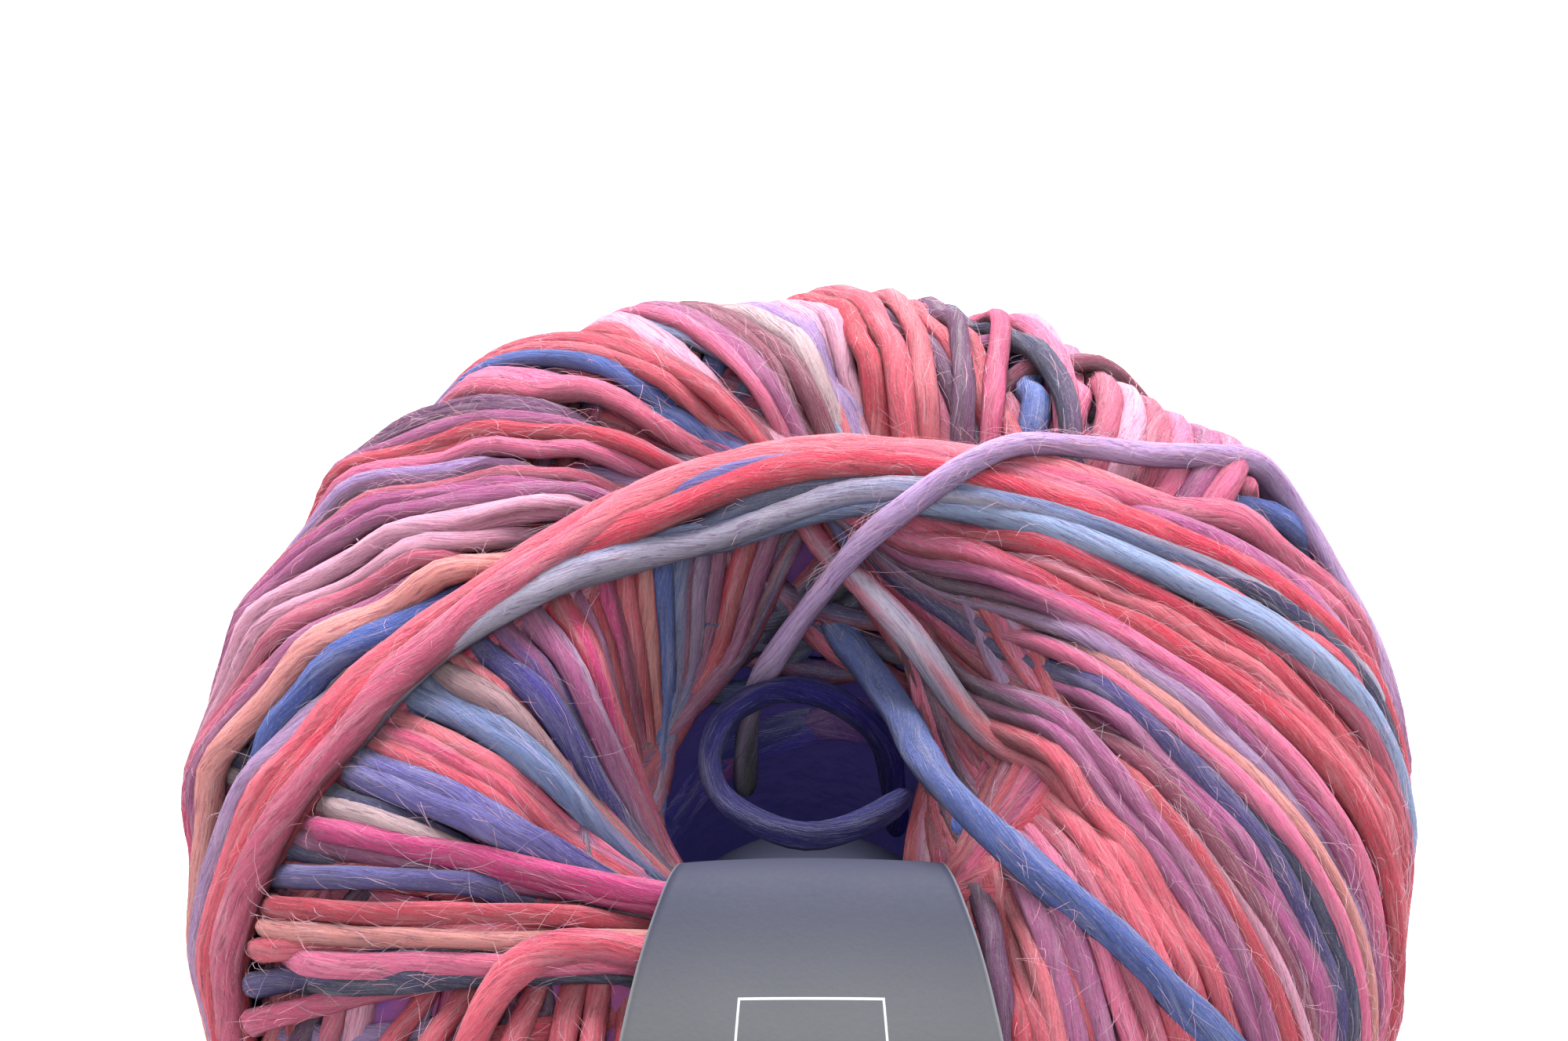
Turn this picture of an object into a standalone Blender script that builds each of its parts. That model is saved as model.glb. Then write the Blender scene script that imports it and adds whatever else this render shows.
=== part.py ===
"""Yarn cake: a wound, doughnut-shaped cake of fluffy space-dyed yarn with a paper band round it.

Metres, +Z up. The cake lies on one end face. The origin is on the surface that it lies on, under
the middle of its hole. The band goes through the hole and round the side that faces -Y.
"""

import math

import bmesh
import bpy
from mathutils import Vector

MM = 0.001

# The wound cake
CAKE_RADIUS = 65.8 * MM
CAKE_HEIGHT = 82.0 * MM
PRESSED_FLAT = 3.0 * MM
SQUARENESS = 3.3
GROOVE_DEPTH = 1.5 * MM
HOLE_RADIUS = 14.0 * MM
MOUTH_RADIUS = 28.0 * MM
TOP_MOUTH_DEPTH = 24.0 * MM
UNDER_MOUTH_DEPTH = 15.0 * MM
MOUTH_SQUARENESS = 2.6
STEPS_AROUND = 96
STEPS_OUTSIDE = 27
STEPS_MOUTH = 6
STEPS_HOLE = 4

# The middle of the cake, which every turn of yarn goes round
HALF_HEIGHT = (CAKE_HEIGHT + PRESSED_FLAT) / 2
MIDDLE = Vector((0.0, 0.0, CAKE_HEIGHT - HALF_HEIGHT))

# The paper band
PAPER = 1.0 * MM
BAND_GAP = 0.3 * MM
BAND_SIDEWAYS = 1.2 * MM
BED_HEIGHT = 10.0 * MM
BAND_SQUEEZE = 1.4 * MM
MOUTH_SQUEEZE = 5.5 * MM
MOUTH_SQUEEZE_RADIUS = 19.0 * MM
SQUEEZE_FADE = 8.0 * MM
BAND_STEPS_ACROSS = 8
BAND_STEPS_A_ROW = 3

# The loose ends of the yarn
YARN_DIAMETER = 3.4 * MM
TAIL_POINT_SPACING = 1.9 * YARN_DIAMETER

# Bundles of turns that stand out. Each is wound round the middle of the cake: foot_angle is the
# direction, from +X, in which it passes the hole, and foot_radius how far from the hole's axis.
# It stands out by lift on the end faces and by side_lift round the side. bend is how far it turns
# about the axis on its way to each side.
BUNDLE_COLUMNS = ("foot_angle", "foot_radius", "half_width", "lift", "side_lift", "bend")
BUNDLES = (
    (104.0, 24.5, 6.5, 4.2, 0.3, 22.0),
    (74.0, 19.0, 4.5, 1.9, 0.8, 4.0),
    (58.0, 18.5, 4.0, 1.5, 1.8, 0.0),
    (43.0, 20.0, 4.5, 1.9, 2.8, 0.0),
    (28.0, 17.5, 4.0, 1.8, 2.0, 0.0),
    (8.0, 24.0, 5.0, 1.6, 2.2, 0.0),
    (344.0, 21.0, 4.5, 1.8, 2.4, 5.0),
    (322.0, 24.0, 5.0, 1.5, 3.2, 0.0),
    (299.0, 20.0, 4.5, 1.9, 0.6, 0.0),
    (277.0, 23.0, 4.5, 1.6, 0.9, 0.0),
    (257.0, 22.0, 4.5, 1.9, 1.0, 0.0),
    (240.0, 20.0, 4.0, 1.6, 1.8, 0.0),
    (222.0, 18.0, 4.5, 1.9, 2.8, 0.0),
    (203.0, 19.0, 4.0, 1.7, 2.0, 0.0),
    (183.0, 22.0, 5.0, 1.8, 2.2, 0.0),
    (160.0, 21.0, 4.5, 1.6, 2.4, 5.0),
    (140.0, 24.0, 5.0, 1.9, 3.2, 0.0),
)
FACE_SHARE_FULL = 0.8

# The band's path in the YZ plane, round from the middle of the hole over the top: how far out
# towards -Y and how far up its middle line is, half its width, and how much the middle of its
# width bulges out past its edges.
BAND_COLUMNS = ("out", "up", "half_width", "crown")
BAND_ROWS = (
    (2.5, 40.0, 10.4, 4.0),
    (2.8, 54.0, 10.6, 4.0),
    (4.4, 61.0, 10.8, 3.8),
    (9.4, 65.8, 11.4, 2.8),
    (14.2, 71.4, 12.4, 1.0),
    (17.4, 77.3, 13.2, 0.4),
    (23.0, 81.0, 14.7, 0.5),
    (32.5, 81.4, 17.2, 0.9),
    (44.0, 78.8, 19.4, 1.6),
    (55.5, 71.8, 20.7, 2.6),
    (62.9, 60.5, 21.2, 3.2),
    (65.4, 40.0, 21.3, 3.4),
    (62.9, 19.5, 21.2, 3.2),
    (54.5, 7.2, 20.7, 2.0),
    (43.0, 1.8, 19.4, 0.6),
    (31.0, 0.8, 17.2, 0.0),
    (21.5, 1.0, 14.7, 0.0),
    (16.2, 4.6, 13.0, 0.6),
    (12.2, 11.0, 12.0, 1.8),
    (5.6, 18.5, 11.0, 3.4),
    (2.8, 27.0, 10.6, 4.0),
)

# Routes of the two loose ends: X, Y and Z in millimetres
OUTER_TAIL_ROUTE = (
    (66.1, 8.1, 50.0),
    (64.7, 14.1, 55.4),
    (62.2, 21.7, 58.8),
    (58.7, 28.7, 61.0),
    (54.6, 34.6, 64.2),
    (50.3, 37.3, 69.6),
    (44.2, 35.2, 74.4),
    (37.6, 33.3, 77.5),
    (30.5, 32.1, 80.5),
    (23.6, 29.6, 83.0),
    (17.0, 24.6, 85.4),
    (11.6, 20.9, 84.2),
    (6.2, 18.0, 80.4),
    (1.5, 14.9, 74.9),
    (-2.3, 12.2, 68.8),
    (-4.8, 10.9, 62.0),
    (-5.6, 10.2, 53.5),
    (-5.8, 10.1, 44.0),
)
INNER_TAIL_ROUTE = (
    (10.2, 4.6, 45.0),
    (10.4, 4.9, 48.0),
    (10.0, 5.8, 52.5),
    (9.3, 7.4, 57.5),
    (6.6, 8.4, 62.8),
    (2.2, 9.2, 66.0),
    (-2.8, 8.6, 67.6),
    (-7.4, 5.0, 68.4),
    (-9.2, -0.6, 69.2),
    (-7.6, -6.6, 71.4),
    (-3.4, -10.8, 73.0),
    (1.8, -12.2, 73.4),
    (7.2, -10.2, 73.2),
    (11.6, -6.2, 72.6),
)


def named(columns, row):
    return dict(zip(columns, row))


def reach_of_section(polar):
    """How far the plain section reaches from the middle, at this angle from +Z."""
    across = math.sin(polar) / (CAKE_RADIUS - GROOVE_DEPTH)
    up = abs(math.cos(polar)) / (HALF_HEIGHT - GROOVE_DEPTH)
    return (across**SQUARENESS + up**SQUARENESS) ** (-1 / SQUARENESS)


def section_height(radius):
    """Height of the plain section over the middle at this radius, with no mouth in it."""
    share = min(1.0, radius / (CAKE_RADIUS - GROOVE_DEPTH))
    return (HALF_HEIGHT - GROOVE_DEPTH) * (1 - share**SQUARENESS) ** (1 / SQUARENESS)


def mouth_points(depth, side):
    """The rounded mouth, from the hole's wall out to the cake's face. side is 1 on top, -1 under."""
    points = []
    for step in range(STEPS_MOUTH):
        turn = math.radians(90) * (1 - step / STEPS_MOUTH)
        inward = math.sin(turn) ** (2 / MOUTH_SQUARENESS)
        dip = depth * (1 - math.cos(turn) ** (2 / MOUTH_SQUARENESS))
        radius = MOUTH_RADIUS - (MOUTH_RADIUS - HOLE_RADIUS) * inward
        points.append((radius, MIDDLE.z + side * (section_height(radius) - dip)))
    return points


def section_points():
    """The cake's closed section at +X: up the hole's wall, over the top and down the outside."""
    top_mouth = mouth_points(TOP_MOUTH_DEPTH, 1)
    under_mouth = mouth_points(UNDER_MOUTH_DEPTH, -1)
    crest = math.atan2(MOUTH_RADIUS, section_height(MOUTH_RADIUS))
    outside = []
    for step in range(STEPS_OUTSIDE + 1):
        polar = crest + (math.pi - 2 * crest) * step / STEPS_OUTSIDE
        reach = reach_of_section(polar)
        outside.append((reach * math.sin(polar), MIDDLE.z + reach * math.cos(polar)))
    low, high = under_mouth[0][1], top_mouth[0][1]
    wall = [(HOLE_RADIUS, low + (high - low) * step / STEPS_HOLE) for step in range(1, STEPS_HOLE)]
    return top_mouth + outside + list(reversed(under_mouth)) + wall


def bundle_lift(direction):
    """How far the bundles of turns raise the cake's surface in this direction from its middle."""
    raised = 0.0
    on_face = min(1.0, abs(direction.z) / FACE_SHARE_FULL) ** 2
    for row in BUNDLES:
        bundle = named(BUNDLE_COLUMNS, row)
        tilt = math.atan2(bundle["foot_radius"] * MM, HALF_HEIGHT)
        sideways = math.atan2(direction.y, direction.x) - math.radians(bundle["foot_angle"])
        turned = sideways - math.radians(bundle["bend"]) * math.sin(sideways)
        flat = math.hypot(direction.x, direction.y)
        off_plane = flat * math.cos(turned) * math.cos(tilt) - direction.z * math.sin(tilt)
        off_line = off_plane * CAKE_RADIUS / (bundle["half_width"] * MM)
        lift = bundle["side_lift"] + (bundle["lift"] - bundle["side_lift"]) * on_face
        raised = max(raised, lift * MM * math.exp(-off_line * off_line))
    return raised


def band_half_width_at(radius):
    """Half the width of the band's footprint on the cake at this distance from the axis."""
    share = min(1.0, max(0.0, (radius - HOLE_RADIUS) / (CAKE_RADIUS - HOLE_RADIUS)))
    return (13.0 + 9.0 * share) * MM


def band_share(point):
    """1 under the band, fading to 0 beside it."""
    from_middle = abs(point.x - BAND_SIDEWAYS)
    past_edge = from_middle - band_half_width_at(math.hypot(point.x, point.y))
    beside = min(1.0, max(0.0, 1 - past_edge / SQUEEZE_FADE))
    in_front = min(1.0, max(0.0, -point.y / SQUEEZE_FADE))
    return beside * beside * (3 - 2 * beside) * in_front


def wound_point(point):
    """A point of the plain cake moved out to the bundles, and in under the band."""
    radius = math.hypot(point.x, point.y)
    if radius < HOLE_RADIUS + 1e-5:
        return point
    fade = min(1.0, (radius - HOLE_RADIUS) / (MOUTH_RADIUS - HOLE_RADIUS))
    squeezed = band_share(point)
    direction = (point - MIDDLE).normalized()
    moved = point + direction * fade * (bundle_lift(direction) - BAND_SQUEEZE * squeezed)
    if point.z > MIDDLE.z:
        from_rim = (radius - MOUTH_SQUEEZE_RADIUS) / SQUEEZE_FADE
        moved.z -= MOUTH_SQUEEZE * squeezed * max(0.0, 1 - from_rim * from_rim) ** 2
    moved.z = max(0.0, moved.z)
    return moved


def closed_curve(rows, steps):
    """Catmull-Rom points through closed rows of numbers, with so many steps from row to row."""
    points = []
    count = len(rows)
    for index in range(count):
        before, start, end, after = (rows[(index + k - 1) % count] for k in range(4))
        for step in range(steps):
            t = step / steps
            points.append(tuple(spline_value(*values, t) for values in zip(before, start, end, after)))
    return points


def open_curve(rows, steps):
    """Catmull-Rom points through an open row of points."""
    padded = (rows[0],) + tuple(rows) + (rows[-1],)
    points = []
    for index in range(len(rows) - 1):
        before, start, end, after = padded[index : index + 4]
        for step in range(steps):
            t = step / steps
            points.append(tuple(spline_value(*values, t) for values in zip(before, start, end, after)))
    points.append(tuple(rows[-1]))
    return points


def spline_value(before, start, end, after, t):
    slope_in = (end - before) / 2
    slope_out = (after - start) / 2
    bend = 3 * (end - start) - 2 * slope_in - slope_out
    twist = 2 * (start - end) + slope_in + slope_out
    return start + slope_in * t + bend * t * t + twist * t * t * t


def evenly_spaced(points, spacing):
    """Points about the spacing apart along a fine polyline."""
    points = [Vector(point) for point in points]
    lengths = [0.0]
    for start, end in zip(points, points[1:]):
        lengths.append(lengths[-1] + (end - start).length)
    count = max(2, round(lengths[-1] / spacing))
    spaced = []
    index = 0
    for step in range(count + 1):
        target = lengths[-1] * step / count
        while index < len(points) - 2 and lengths[index + 1] < target:
            index += 1
        share = (target - lengths[index]) / (lengths[index + 1] - lengths[index])
        spaced.append(points[index].lerp(points[index + 1], share))
    return spaced


def clear_scene():
    for obj in list(bpy.data.objects):
        bpy.data.objects.remove(obj, do_unlink=True)


def new_collection(name):
    collection = bpy.data.collections.new(name)
    bpy.context.scene.collection.children.link(collection)
    return collection


def make_material(name, colour, roughness):
    material = bpy.data.materials.new(name)
    material.use_nodes = True
    shader = material.node_tree.nodes["Principled BSDF"]
    shader.inputs["Base Color"].default_value = (*colour, 1.0)
    shader.inputs["Roughness"].default_value = roughness
    shader.inputs["Metallic"].default_value = 0.0
    return material


def add_object(name, data, collection, material):
    obj = bpy.data.objects.new(name, data)
    collection.objects.link(obj)
    obj.data.materials.append(material)
    return obj


def evaluated_mesh(obj):
    graph = bpy.context.evaluated_depsgraph_get()
    return bpy.data.meshes.new_from_object(obj.evaluated_get(graph), depsgraph=graph)


def turned_ring(name, section, steps):
    """A closed section turned once round Z."""
    mesh = bpy.data.meshes.new(name)
    count = len(section)
    edges = [(index, (index + 1) % count) for index in range(count)]
    mesh.from_pydata([(radius, 0.0, height) for radius, height in section], edges, [])
    guide = bpy.data.objects.new(name + "_guide", mesh)
    bpy.context.scene.collection.objects.link(guide)
    screw = guide.modifiers.new("turn", "SCREW")
    screw.angle = math.radians(360)
    screw.steps = screw.render_steps = steps
    screw.use_merge_vertices = True
    screw.merge_threshold = 0.00001
    turned = evaluated_mesh(guide)
    bpy.data.objects.remove(guide)
    return turned


def make_cake(collection, material, cutter):
    """The wound yarn, with its bundles of turns raised and a bed cut for the band."""
    mesh = turned_ring("wound_cake", section_points(), STEPS_AROUND)
    for vertex in mesh.vertices:
        vertex.co = wound_point(vertex.co.copy())
    mesh.shade_smooth()
    cake = add_object("wound_cake", mesh, collection, material)
    bed = cake.modifiers.new("band_bed", "BOOLEAN")
    bed.operation = "DIFFERENCE"
    bed.object = cutter
    return cake


def band_row_points(row, widen, under):
    """The points across the band at one row of its path, so far under its middle surface."""
    half_width = row["half_width"] * MM
    crown = row["crown"] * MM
    points = []
    for step in range(BAND_STEPS_ACROSS + 1):
        across = 2 * step / BAND_STEPS_ACROSS - 1
        slope = 2 * crown * across / half_width
        drop = crown * across * across + under * math.hypot(1.0, slope)
        point = Vector((BAND_SIDEWAYS, -row["out"] * MM, row["up"] * MM)) - row["outward"] * drop
        point.x += (half_width + widen) * across
        points.append(point)
    return points


def band_rows():
    """The rows of the band's path, smoothed, each with its outward direction."""
    rows = [named(BAND_COLUMNS, values) for values in closed_curve(BAND_ROWS, BAND_STEPS_A_ROW)]
    count = len(rows)
    for index, row in enumerate(rows):
        before, after = rows[index - 1], rows[(index + 1) % count]
        along = (after["out"] - before["out"], after["up"] - before["up"])
        row["outward"] = Vector((0.0, along[1], along[0])).normalized()
    return rows


def band_sheet(widen, under):
    """The band's surface closed round its path. Each point keeps the path's outward direction."""
    rows = band_rows()
    rows.append(rows[0])
    shape = bmesh.new()
    outward = shape.verts.layers.float_vector.new("outward")
    steps = len(rows) - 1
    bmesh.ops.create_grid(shape, x_segments=BAND_STEPS_ACROSS, y_segments=steps, size=0.5)
    vertices = iter(list(shape.verts))
    for row in rows:
        for point in band_row_points(row, widen, under):
            vertex = next(vertices)
            vertex.co = point
            vertex[outward] = row["outward"]
    bmesh.ops.remove_doubles(shape, verts=shape.verts, dist=0.00001)
    return shape, outward


def mesh_from(name, shape):
    bmesh.ops.recalc_face_normals(shape, faces=shape.faces)
    mesh = bpy.data.meshes.new(name)
    shape.to_mesh(mesh)
    shape.free()
    return mesh


def make_band(collection, material):
    shape, _ = band_sheet(0.0, 0.0)
    band = add_object("paper_band", mesh_from("paper_band", shape), collection, material)
    thickness = band.modifiers.new("thickness", "SOLIDIFY")
    thickness.thickness = PAPER
    thickness.offset = 0.0
    thickness.use_even_offset = True
    band.data.shade_smooth()
    return band


def make_band_cutter(collection, material):
    """What the band's bed takes out of the cake: from a gap under the band, straight outwards."""
    shape, outward = band_sheet(BAND_GAP, PAPER / 2 + BAND_GAP)
    raised = bmesh.ops.extrude_face_region(shape, geom=shape.faces[:], use_keep_orig=True)
    for vertex in raised["geom"]:
        if isinstance(vertex, bmesh.types.BMVert):
            vertex.co += vertex[outward] * BED_HEIGHT
    cutter = add_object("band_cutter", mesh_from("band_cutter", shape), collection, material)
    cutter.hide_render = True
    cutter.display_type = "WIRE"
    return cutter


def make_tail(name, route, collection, material):
    """A loose end of yarn along a smooth route."""
    fine = [tuple(value * MM for value in point) for point in open_curve(route, 12)]
    points = evenly_spaced(fine, TAIL_POINT_SPACING)
    curve = bpy.data.curves.new(name, "CURVE")
    curve.dimensions = "3D"
    curve.bevel_depth = YARN_DIAMETER / 2
    curve.bevel_resolution = 2
    curve.use_fill_caps = True
    spline = curve.splines.new("POLY")
    spline.points.add(len(points) - 1)
    for spline_point, point in zip(spline.points, points):
        spline_point.co = (*point, 1.0)
    return add_object(name, curve, collection, material)


def main():
    clear_scene()
    parts = new_collection("yarn_cake")
    cutters = new_collection("cutters")
    rose_yarn = make_material("rose_yarn", (0.62, 0.16, 0.24), 0.9)
    grey_paper = make_material("grey_paper", (0.055, 0.06, 0.07), 0.55)
    lilac_yarn = make_material("lilac_yarn", (0.45, 0.3, 0.58), 0.9)
    violet_yarn = make_material("violet_yarn", (0.06, 0.045, 0.32), 0.8)
    cutter = make_band_cutter(cutters, grey_paper)
    make_cake(parts, rose_yarn, cutter)
    make_band(parts, grey_paper)
    make_tail("outer_tail", OUTER_TAIL_ROUTE, parts, lilac_yarn)
    make_tail("inner_tail", INNER_TAIL_ROUTE, parts, violet_yarn)


main()
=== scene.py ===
"""Looks of the yarn cake: turns of space-dyed yarn, loose ends, fuzz and a paper band.

Laid out as a Blender add-on and run as a script. Metres, +Z up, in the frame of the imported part.
The camera looks from -Y. Angles round the cake are degrees from +X, seen from above.
"""

import math

import bmesh
import bpy
import numpy as np
from mathutils import Euler, Matrix, Vector
from mathutils.bvhtree import BVHTree
from mathutils.kdtree import KDTree


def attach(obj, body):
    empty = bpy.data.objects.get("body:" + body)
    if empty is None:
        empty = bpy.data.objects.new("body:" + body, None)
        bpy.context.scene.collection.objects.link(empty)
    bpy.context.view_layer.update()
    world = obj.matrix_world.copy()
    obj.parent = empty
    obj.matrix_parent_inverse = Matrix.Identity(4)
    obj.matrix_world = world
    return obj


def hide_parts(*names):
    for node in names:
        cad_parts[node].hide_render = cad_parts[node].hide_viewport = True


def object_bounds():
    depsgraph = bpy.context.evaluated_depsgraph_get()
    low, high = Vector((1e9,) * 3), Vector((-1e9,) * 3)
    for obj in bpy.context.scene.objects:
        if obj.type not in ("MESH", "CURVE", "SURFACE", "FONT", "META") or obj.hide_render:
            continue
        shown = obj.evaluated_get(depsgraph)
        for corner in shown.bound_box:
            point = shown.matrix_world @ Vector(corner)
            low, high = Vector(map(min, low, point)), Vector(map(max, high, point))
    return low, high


bl_info = {
    "name": "Yarn cake",
    "version": (1, 0, 0),
    "blender": (4, 5, 0),
    "location": "View3D > Sidebar > Yarn cake",
    "description": "Dresses the packed yarn cake in turns of yarn, fuzz and a paper band",
    "category": "Object",
}

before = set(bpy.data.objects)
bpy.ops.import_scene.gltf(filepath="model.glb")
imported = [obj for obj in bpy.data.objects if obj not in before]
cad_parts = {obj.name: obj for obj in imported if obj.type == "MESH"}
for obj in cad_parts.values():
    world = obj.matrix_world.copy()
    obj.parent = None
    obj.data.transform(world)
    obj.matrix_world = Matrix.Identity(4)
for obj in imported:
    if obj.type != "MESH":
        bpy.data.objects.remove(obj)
CAD_BOX = [list(corner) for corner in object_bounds()]

MM = 0.001
BODY = "root"

# ---------------------------------------------------------------- sizes of the cake, in millimetres
HALF_HEIGHT = 42.5
OUTER_RADIUS = 65.8
MIDDLE = np.array((0.0, 0.0, 39.5))
# The plain form's section, a rounded rectangle
SECTION_RADIUS = 64.3
SECTION_HALF_HEIGHT = 41.0
SQUARENESS = 3.3
# The hole and its rounded mouths
HOLE_RADIUS = 14.0
MOUTH_RADIUS = 28.0
TOP_MOUTH_DEPTH = 24.0
UNDER_MOUTH_DEPTH = 15.0
MOUTH_SQUARENESS = 2.6
# The band's middle line lies this far towards +X
BAND_SIDEWAYS = 1.2
# Half the width of the strip under the band, at the hole, and how much wider it is outside
STRIP_HALF_WIDTH = 13.0
STRIP_WIDENING = 9.0
# A ray towards the middle finds the band: how far outside the yarn it starts, and how far it looks
RAY_START = 14.0
RAY_LENGTH = 24.0
# From the band's middle surface to a strand's centre line
UNDER_BAND = 1.7
# The core under the turns: how far in from the surface, and its wall in the hole as radius, up
CORE_INSET = 6.3
CORE_WALL = ((16.6, 9.0), (16.6, 58.0), (19.0, 64.0), (25.0, 69.5))
CORE_CREST = (MOUTH_RADIUS + 4.0, 36.0)
CORE_LOWEST = 3.0

# Bundles of turns that stand out: foot angle, foot radius, half width, lift, side lift, bend
BUNDLES = (
    (104.0, 24.5, 6.5, 4.2, 0.3, 22.0),
    (74.0, 19.0, 4.5, 1.9, 0.8, 4.0),
    (58.0, 18.5, 4.0, 1.5, 1.8, 0.0),
    (43.0, 20.0, 4.5, 1.9, 2.8, 0.0),
    (28.0, 17.5, 4.0, 1.8, 2.0, 0.0),
    (8.0, 24.0, 5.0, 1.6, 2.2, 0.0),
    (344.0, 21.0, 4.5, 1.8, 2.4, 5.0),
    (322.0, 24.0, 5.0, 1.5, 3.2, 0.0),
    (299.0, 20.0, 4.5, 1.9, 0.6, 0.0),
    (277.0, 23.0, 4.5, 1.6, 0.9, 0.0),
    (257.0, 22.0, 4.5, 1.9, 1.0, 0.0),
    (240.0, 20.0, 4.0, 1.6, 1.8, 0.0),
    (222.0, 18.0, 4.5, 1.9, 2.8, 0.0),
    (203.0, 19.0, 4.0, 1.7, 2.0, 0.0),
    (183.0, 22.0, 5.0, 1.8, 2.2, 0.0),
    (160.0, 21.0, 4.5, 1.6, 2.4, 5.0),
    (140.0, 24.0, 5.0, 1.9, 3.2, 0.0),
)

# The band's path round from the middle of the hole over the top: out towards -Y, up, half width
# and how far the middle of its width bulges out
BAND_ROWS = (
    (2.5, 40.0, 10.4, 4.0),
    (2.8, 54.0, 10.6, 4.0),
    (4.4, 61.0, 10.8, 3.8),
    (9.4, 65.8, 11.4, 2.8),
    (14.2, 71.4, 12.4, 1.0),
    (17.4, 77.3, 13.2, 0.4),
    (23.0, 81.0, 14.7, 0.5),
    (32.5, 81.4, 17.2, 0.9),
    (44.0, 78.8, 19.4, 1.6),
    (55.5, 71.8, 20.7, 2.6),
    (62.9, 60.5, 21.2, 3.2),
    (65.4, 40.0, 21.3, 3.4),
    (62.9, 19.5, 21.2, 3.2),
    (54.5, 7.2, 20.7, 2.0),
    (43.0, 1.8, 19.4, 0.6),
    (31.0, 0.8, 17.2, 0.0),
    (21.5, 1.0, 14.7, 0.0),
    (16.2, 4.6, 13.0, 0.6),
    (12.2, 11.0, 12.0, 1.8),
    (5.6, 18.5, 11.0, 3.4),
    (2.8, 27.0, 10.6, 4.0),
)

# Routes of the two loose ends, as in the part's source
OUTER_TAIL_ROUTE = (
    (66.1, 8.1, 50.0),
    (64.7, 14.1, 55.4),
    (62.2, 21.7, 58.8),
    (58.7, 28.7, 61.0),
    (54.6, 34.6, 64.2),
    (50.3, 37.3, 69.6),
    (44.2, 35.2, 74.4),
    (37.6, 33.3, 77.5),
    (30.5, 32.1, 80.5),
    (23.6, 29.6, 83.0),
    (17.0, 24.6, 85.4),
    (11.6, 20.9, 84.2),
    (6.2, 18.0, 80.4),
    (1.5, 14.9, 74.9),
    (-2.3, 12.2, 68.8),
    (-4.8, 10.9, 62.0),
    (-5.6, 10.2, 53.5),
    (-5.8, 10.1, 44.0),
)
INNER_TAIL_ROUTE = (
    (10.2, 4.6, 45.0),
    (10.4, 4.9, 48.0),
    (10.0, 5.8, 52.5),
    (9.3, 7.4, 57.5),
    (6.6, 8.4, 62.8),
    (2.2, 9.2, 66.0),
    (-2.8, 8.6, 67.6),
    (-7.4, 5.0, 68.4),
    (-9.2, -0.6, 69.2),
    (-7.6, -6.6, 71.4),
    (-3.4, -10.8, 73.0),
    (1.8, -12.2, 73.4),
    (7.2, -10.2, 73.2),
    (11.6, -6.2, 72.6),
)

# ---------------------------------------------------------------- dye colours, as sRGB
DYES = {
    "crimson": (0.83, 0.14, 0.32),
    "coral": (0.90, 0.37, 0.46),
    "salmon": (0.92, 0.48, 0.53),
    "rose": (0.88, 0.34, 0.54),
    "dusty_rose": (0.83, 0.39, 0.52),
    "pink": (0.96, 0.50, 0.66),
    "pale_pink": (0.95, 0.72, 0.80),
    "peach": (0.94, 0.66, 0.61),
    "magenta": (0.87, 0.19, 0.56),
    "orchid": (0.73, 0.31, 0.58),
    "mauve": (0.72, 0.37, 0.59),
    "plum": (0.46, 0.17, 0.43),
    "wine": (0.58, 0.15, 0.35),
    "lilac": (0.71, 0.60, 0.80),
    "lavender": (0.70, 0.59, 0.74),
    "indigo": (0.27, 0.18, 0.52),
    "navy": (0.17, 0.16, 0.40),
    "violet": (0.24, 0.16, 0.60),
    "deep_violet": (0.11, 0.10, 0.43),
    "pale_lilac": (0.82, 0.72, 0.90),
    "periwinkle": (0.42, 0.41, 0.68),
    "cornflower": (0.33, 0.47, 0.76),
    "sky": (0.60, 0.71, 0.83),
    "denim": (0.27, 0.39, 0.66),
    "royal": (0.22, 0.37, 0.68),
    "steel": (0.46, 0.57, 0.74),
    "silver": (0.74, 0.75, 0.81),
    "cream": (0.86, 0.79, 0.77),
    "beige": (0.72, 0.60, 0.60),
}

# ---------------------------------------------------------------- the turns, from the top one down
# Each goes round the middle of the cake and passes the hole at foot angle and foot distance.
# Its colours are those of its clockwise half, its foot and its other half. Width is a share.
ARCH_TURNS = (
    # foot, distance, bend clockwise, bend other way, colours, width
    (131.0, 26.2, 41.0, -10.0, "dusty_rose", "salmon", "dusty_rose", 1.45),
    (125.5, 27.4, 35.0, -10.0, "salmon", "coral", "coral", 1.40),
    (117.0, 22.9, 32.0, 0.0, "crimson", "crimson", "crimson", 1.45),
    (112.0, 20.2, 24.0, 5.0, "silver", "steel", "silver", 1.30),
    (106.0, 20.4, 23.0, 3.0, "sky", "sky", "lavender", 1.30),
    (109.0, 21.4, 24.0, 0.0, "navy", "navy", "steel", 0.95),
    (114.0, 24.4, 30.0, 2.0, "coral", "periwinkle", "steel", 1.00),
    (121.5, 25.6, 30.0, 0.0, "rose", "pink", "crimson", 1.15),
    (119.0, 26.8, 30.0, 0.0, "dusty_rose", "cornflower", "cornflower", 1.05),
    (117.0, 27.0, 30.0, 0.0, "salmon", "crimson", "crimson", 1.20),
    (115.0, 27.0, 30.0, 0.0, "mauve", "cornflower", "cornflower", 1.45),
    (112.0, 26.6, 26.0, 0.0, "dusty_rose", "royal", "royal", 1.30),
    (109.5, 26.2, 24.0, 0.0, "salmon", "silver", "silver", 1.10),
    (105.0, 25.4, 22.0, 0.0, "dusty_rose", "peach", "peach", 1.35),
    (101.0, 24.6, 18.0, 0.0, "rose", "orchid", "mauve", 1.15),
    (98.0, 22.4, 18.0, 0.0, "coral", "dusty_rose", "rose", 1.15),
)

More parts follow.
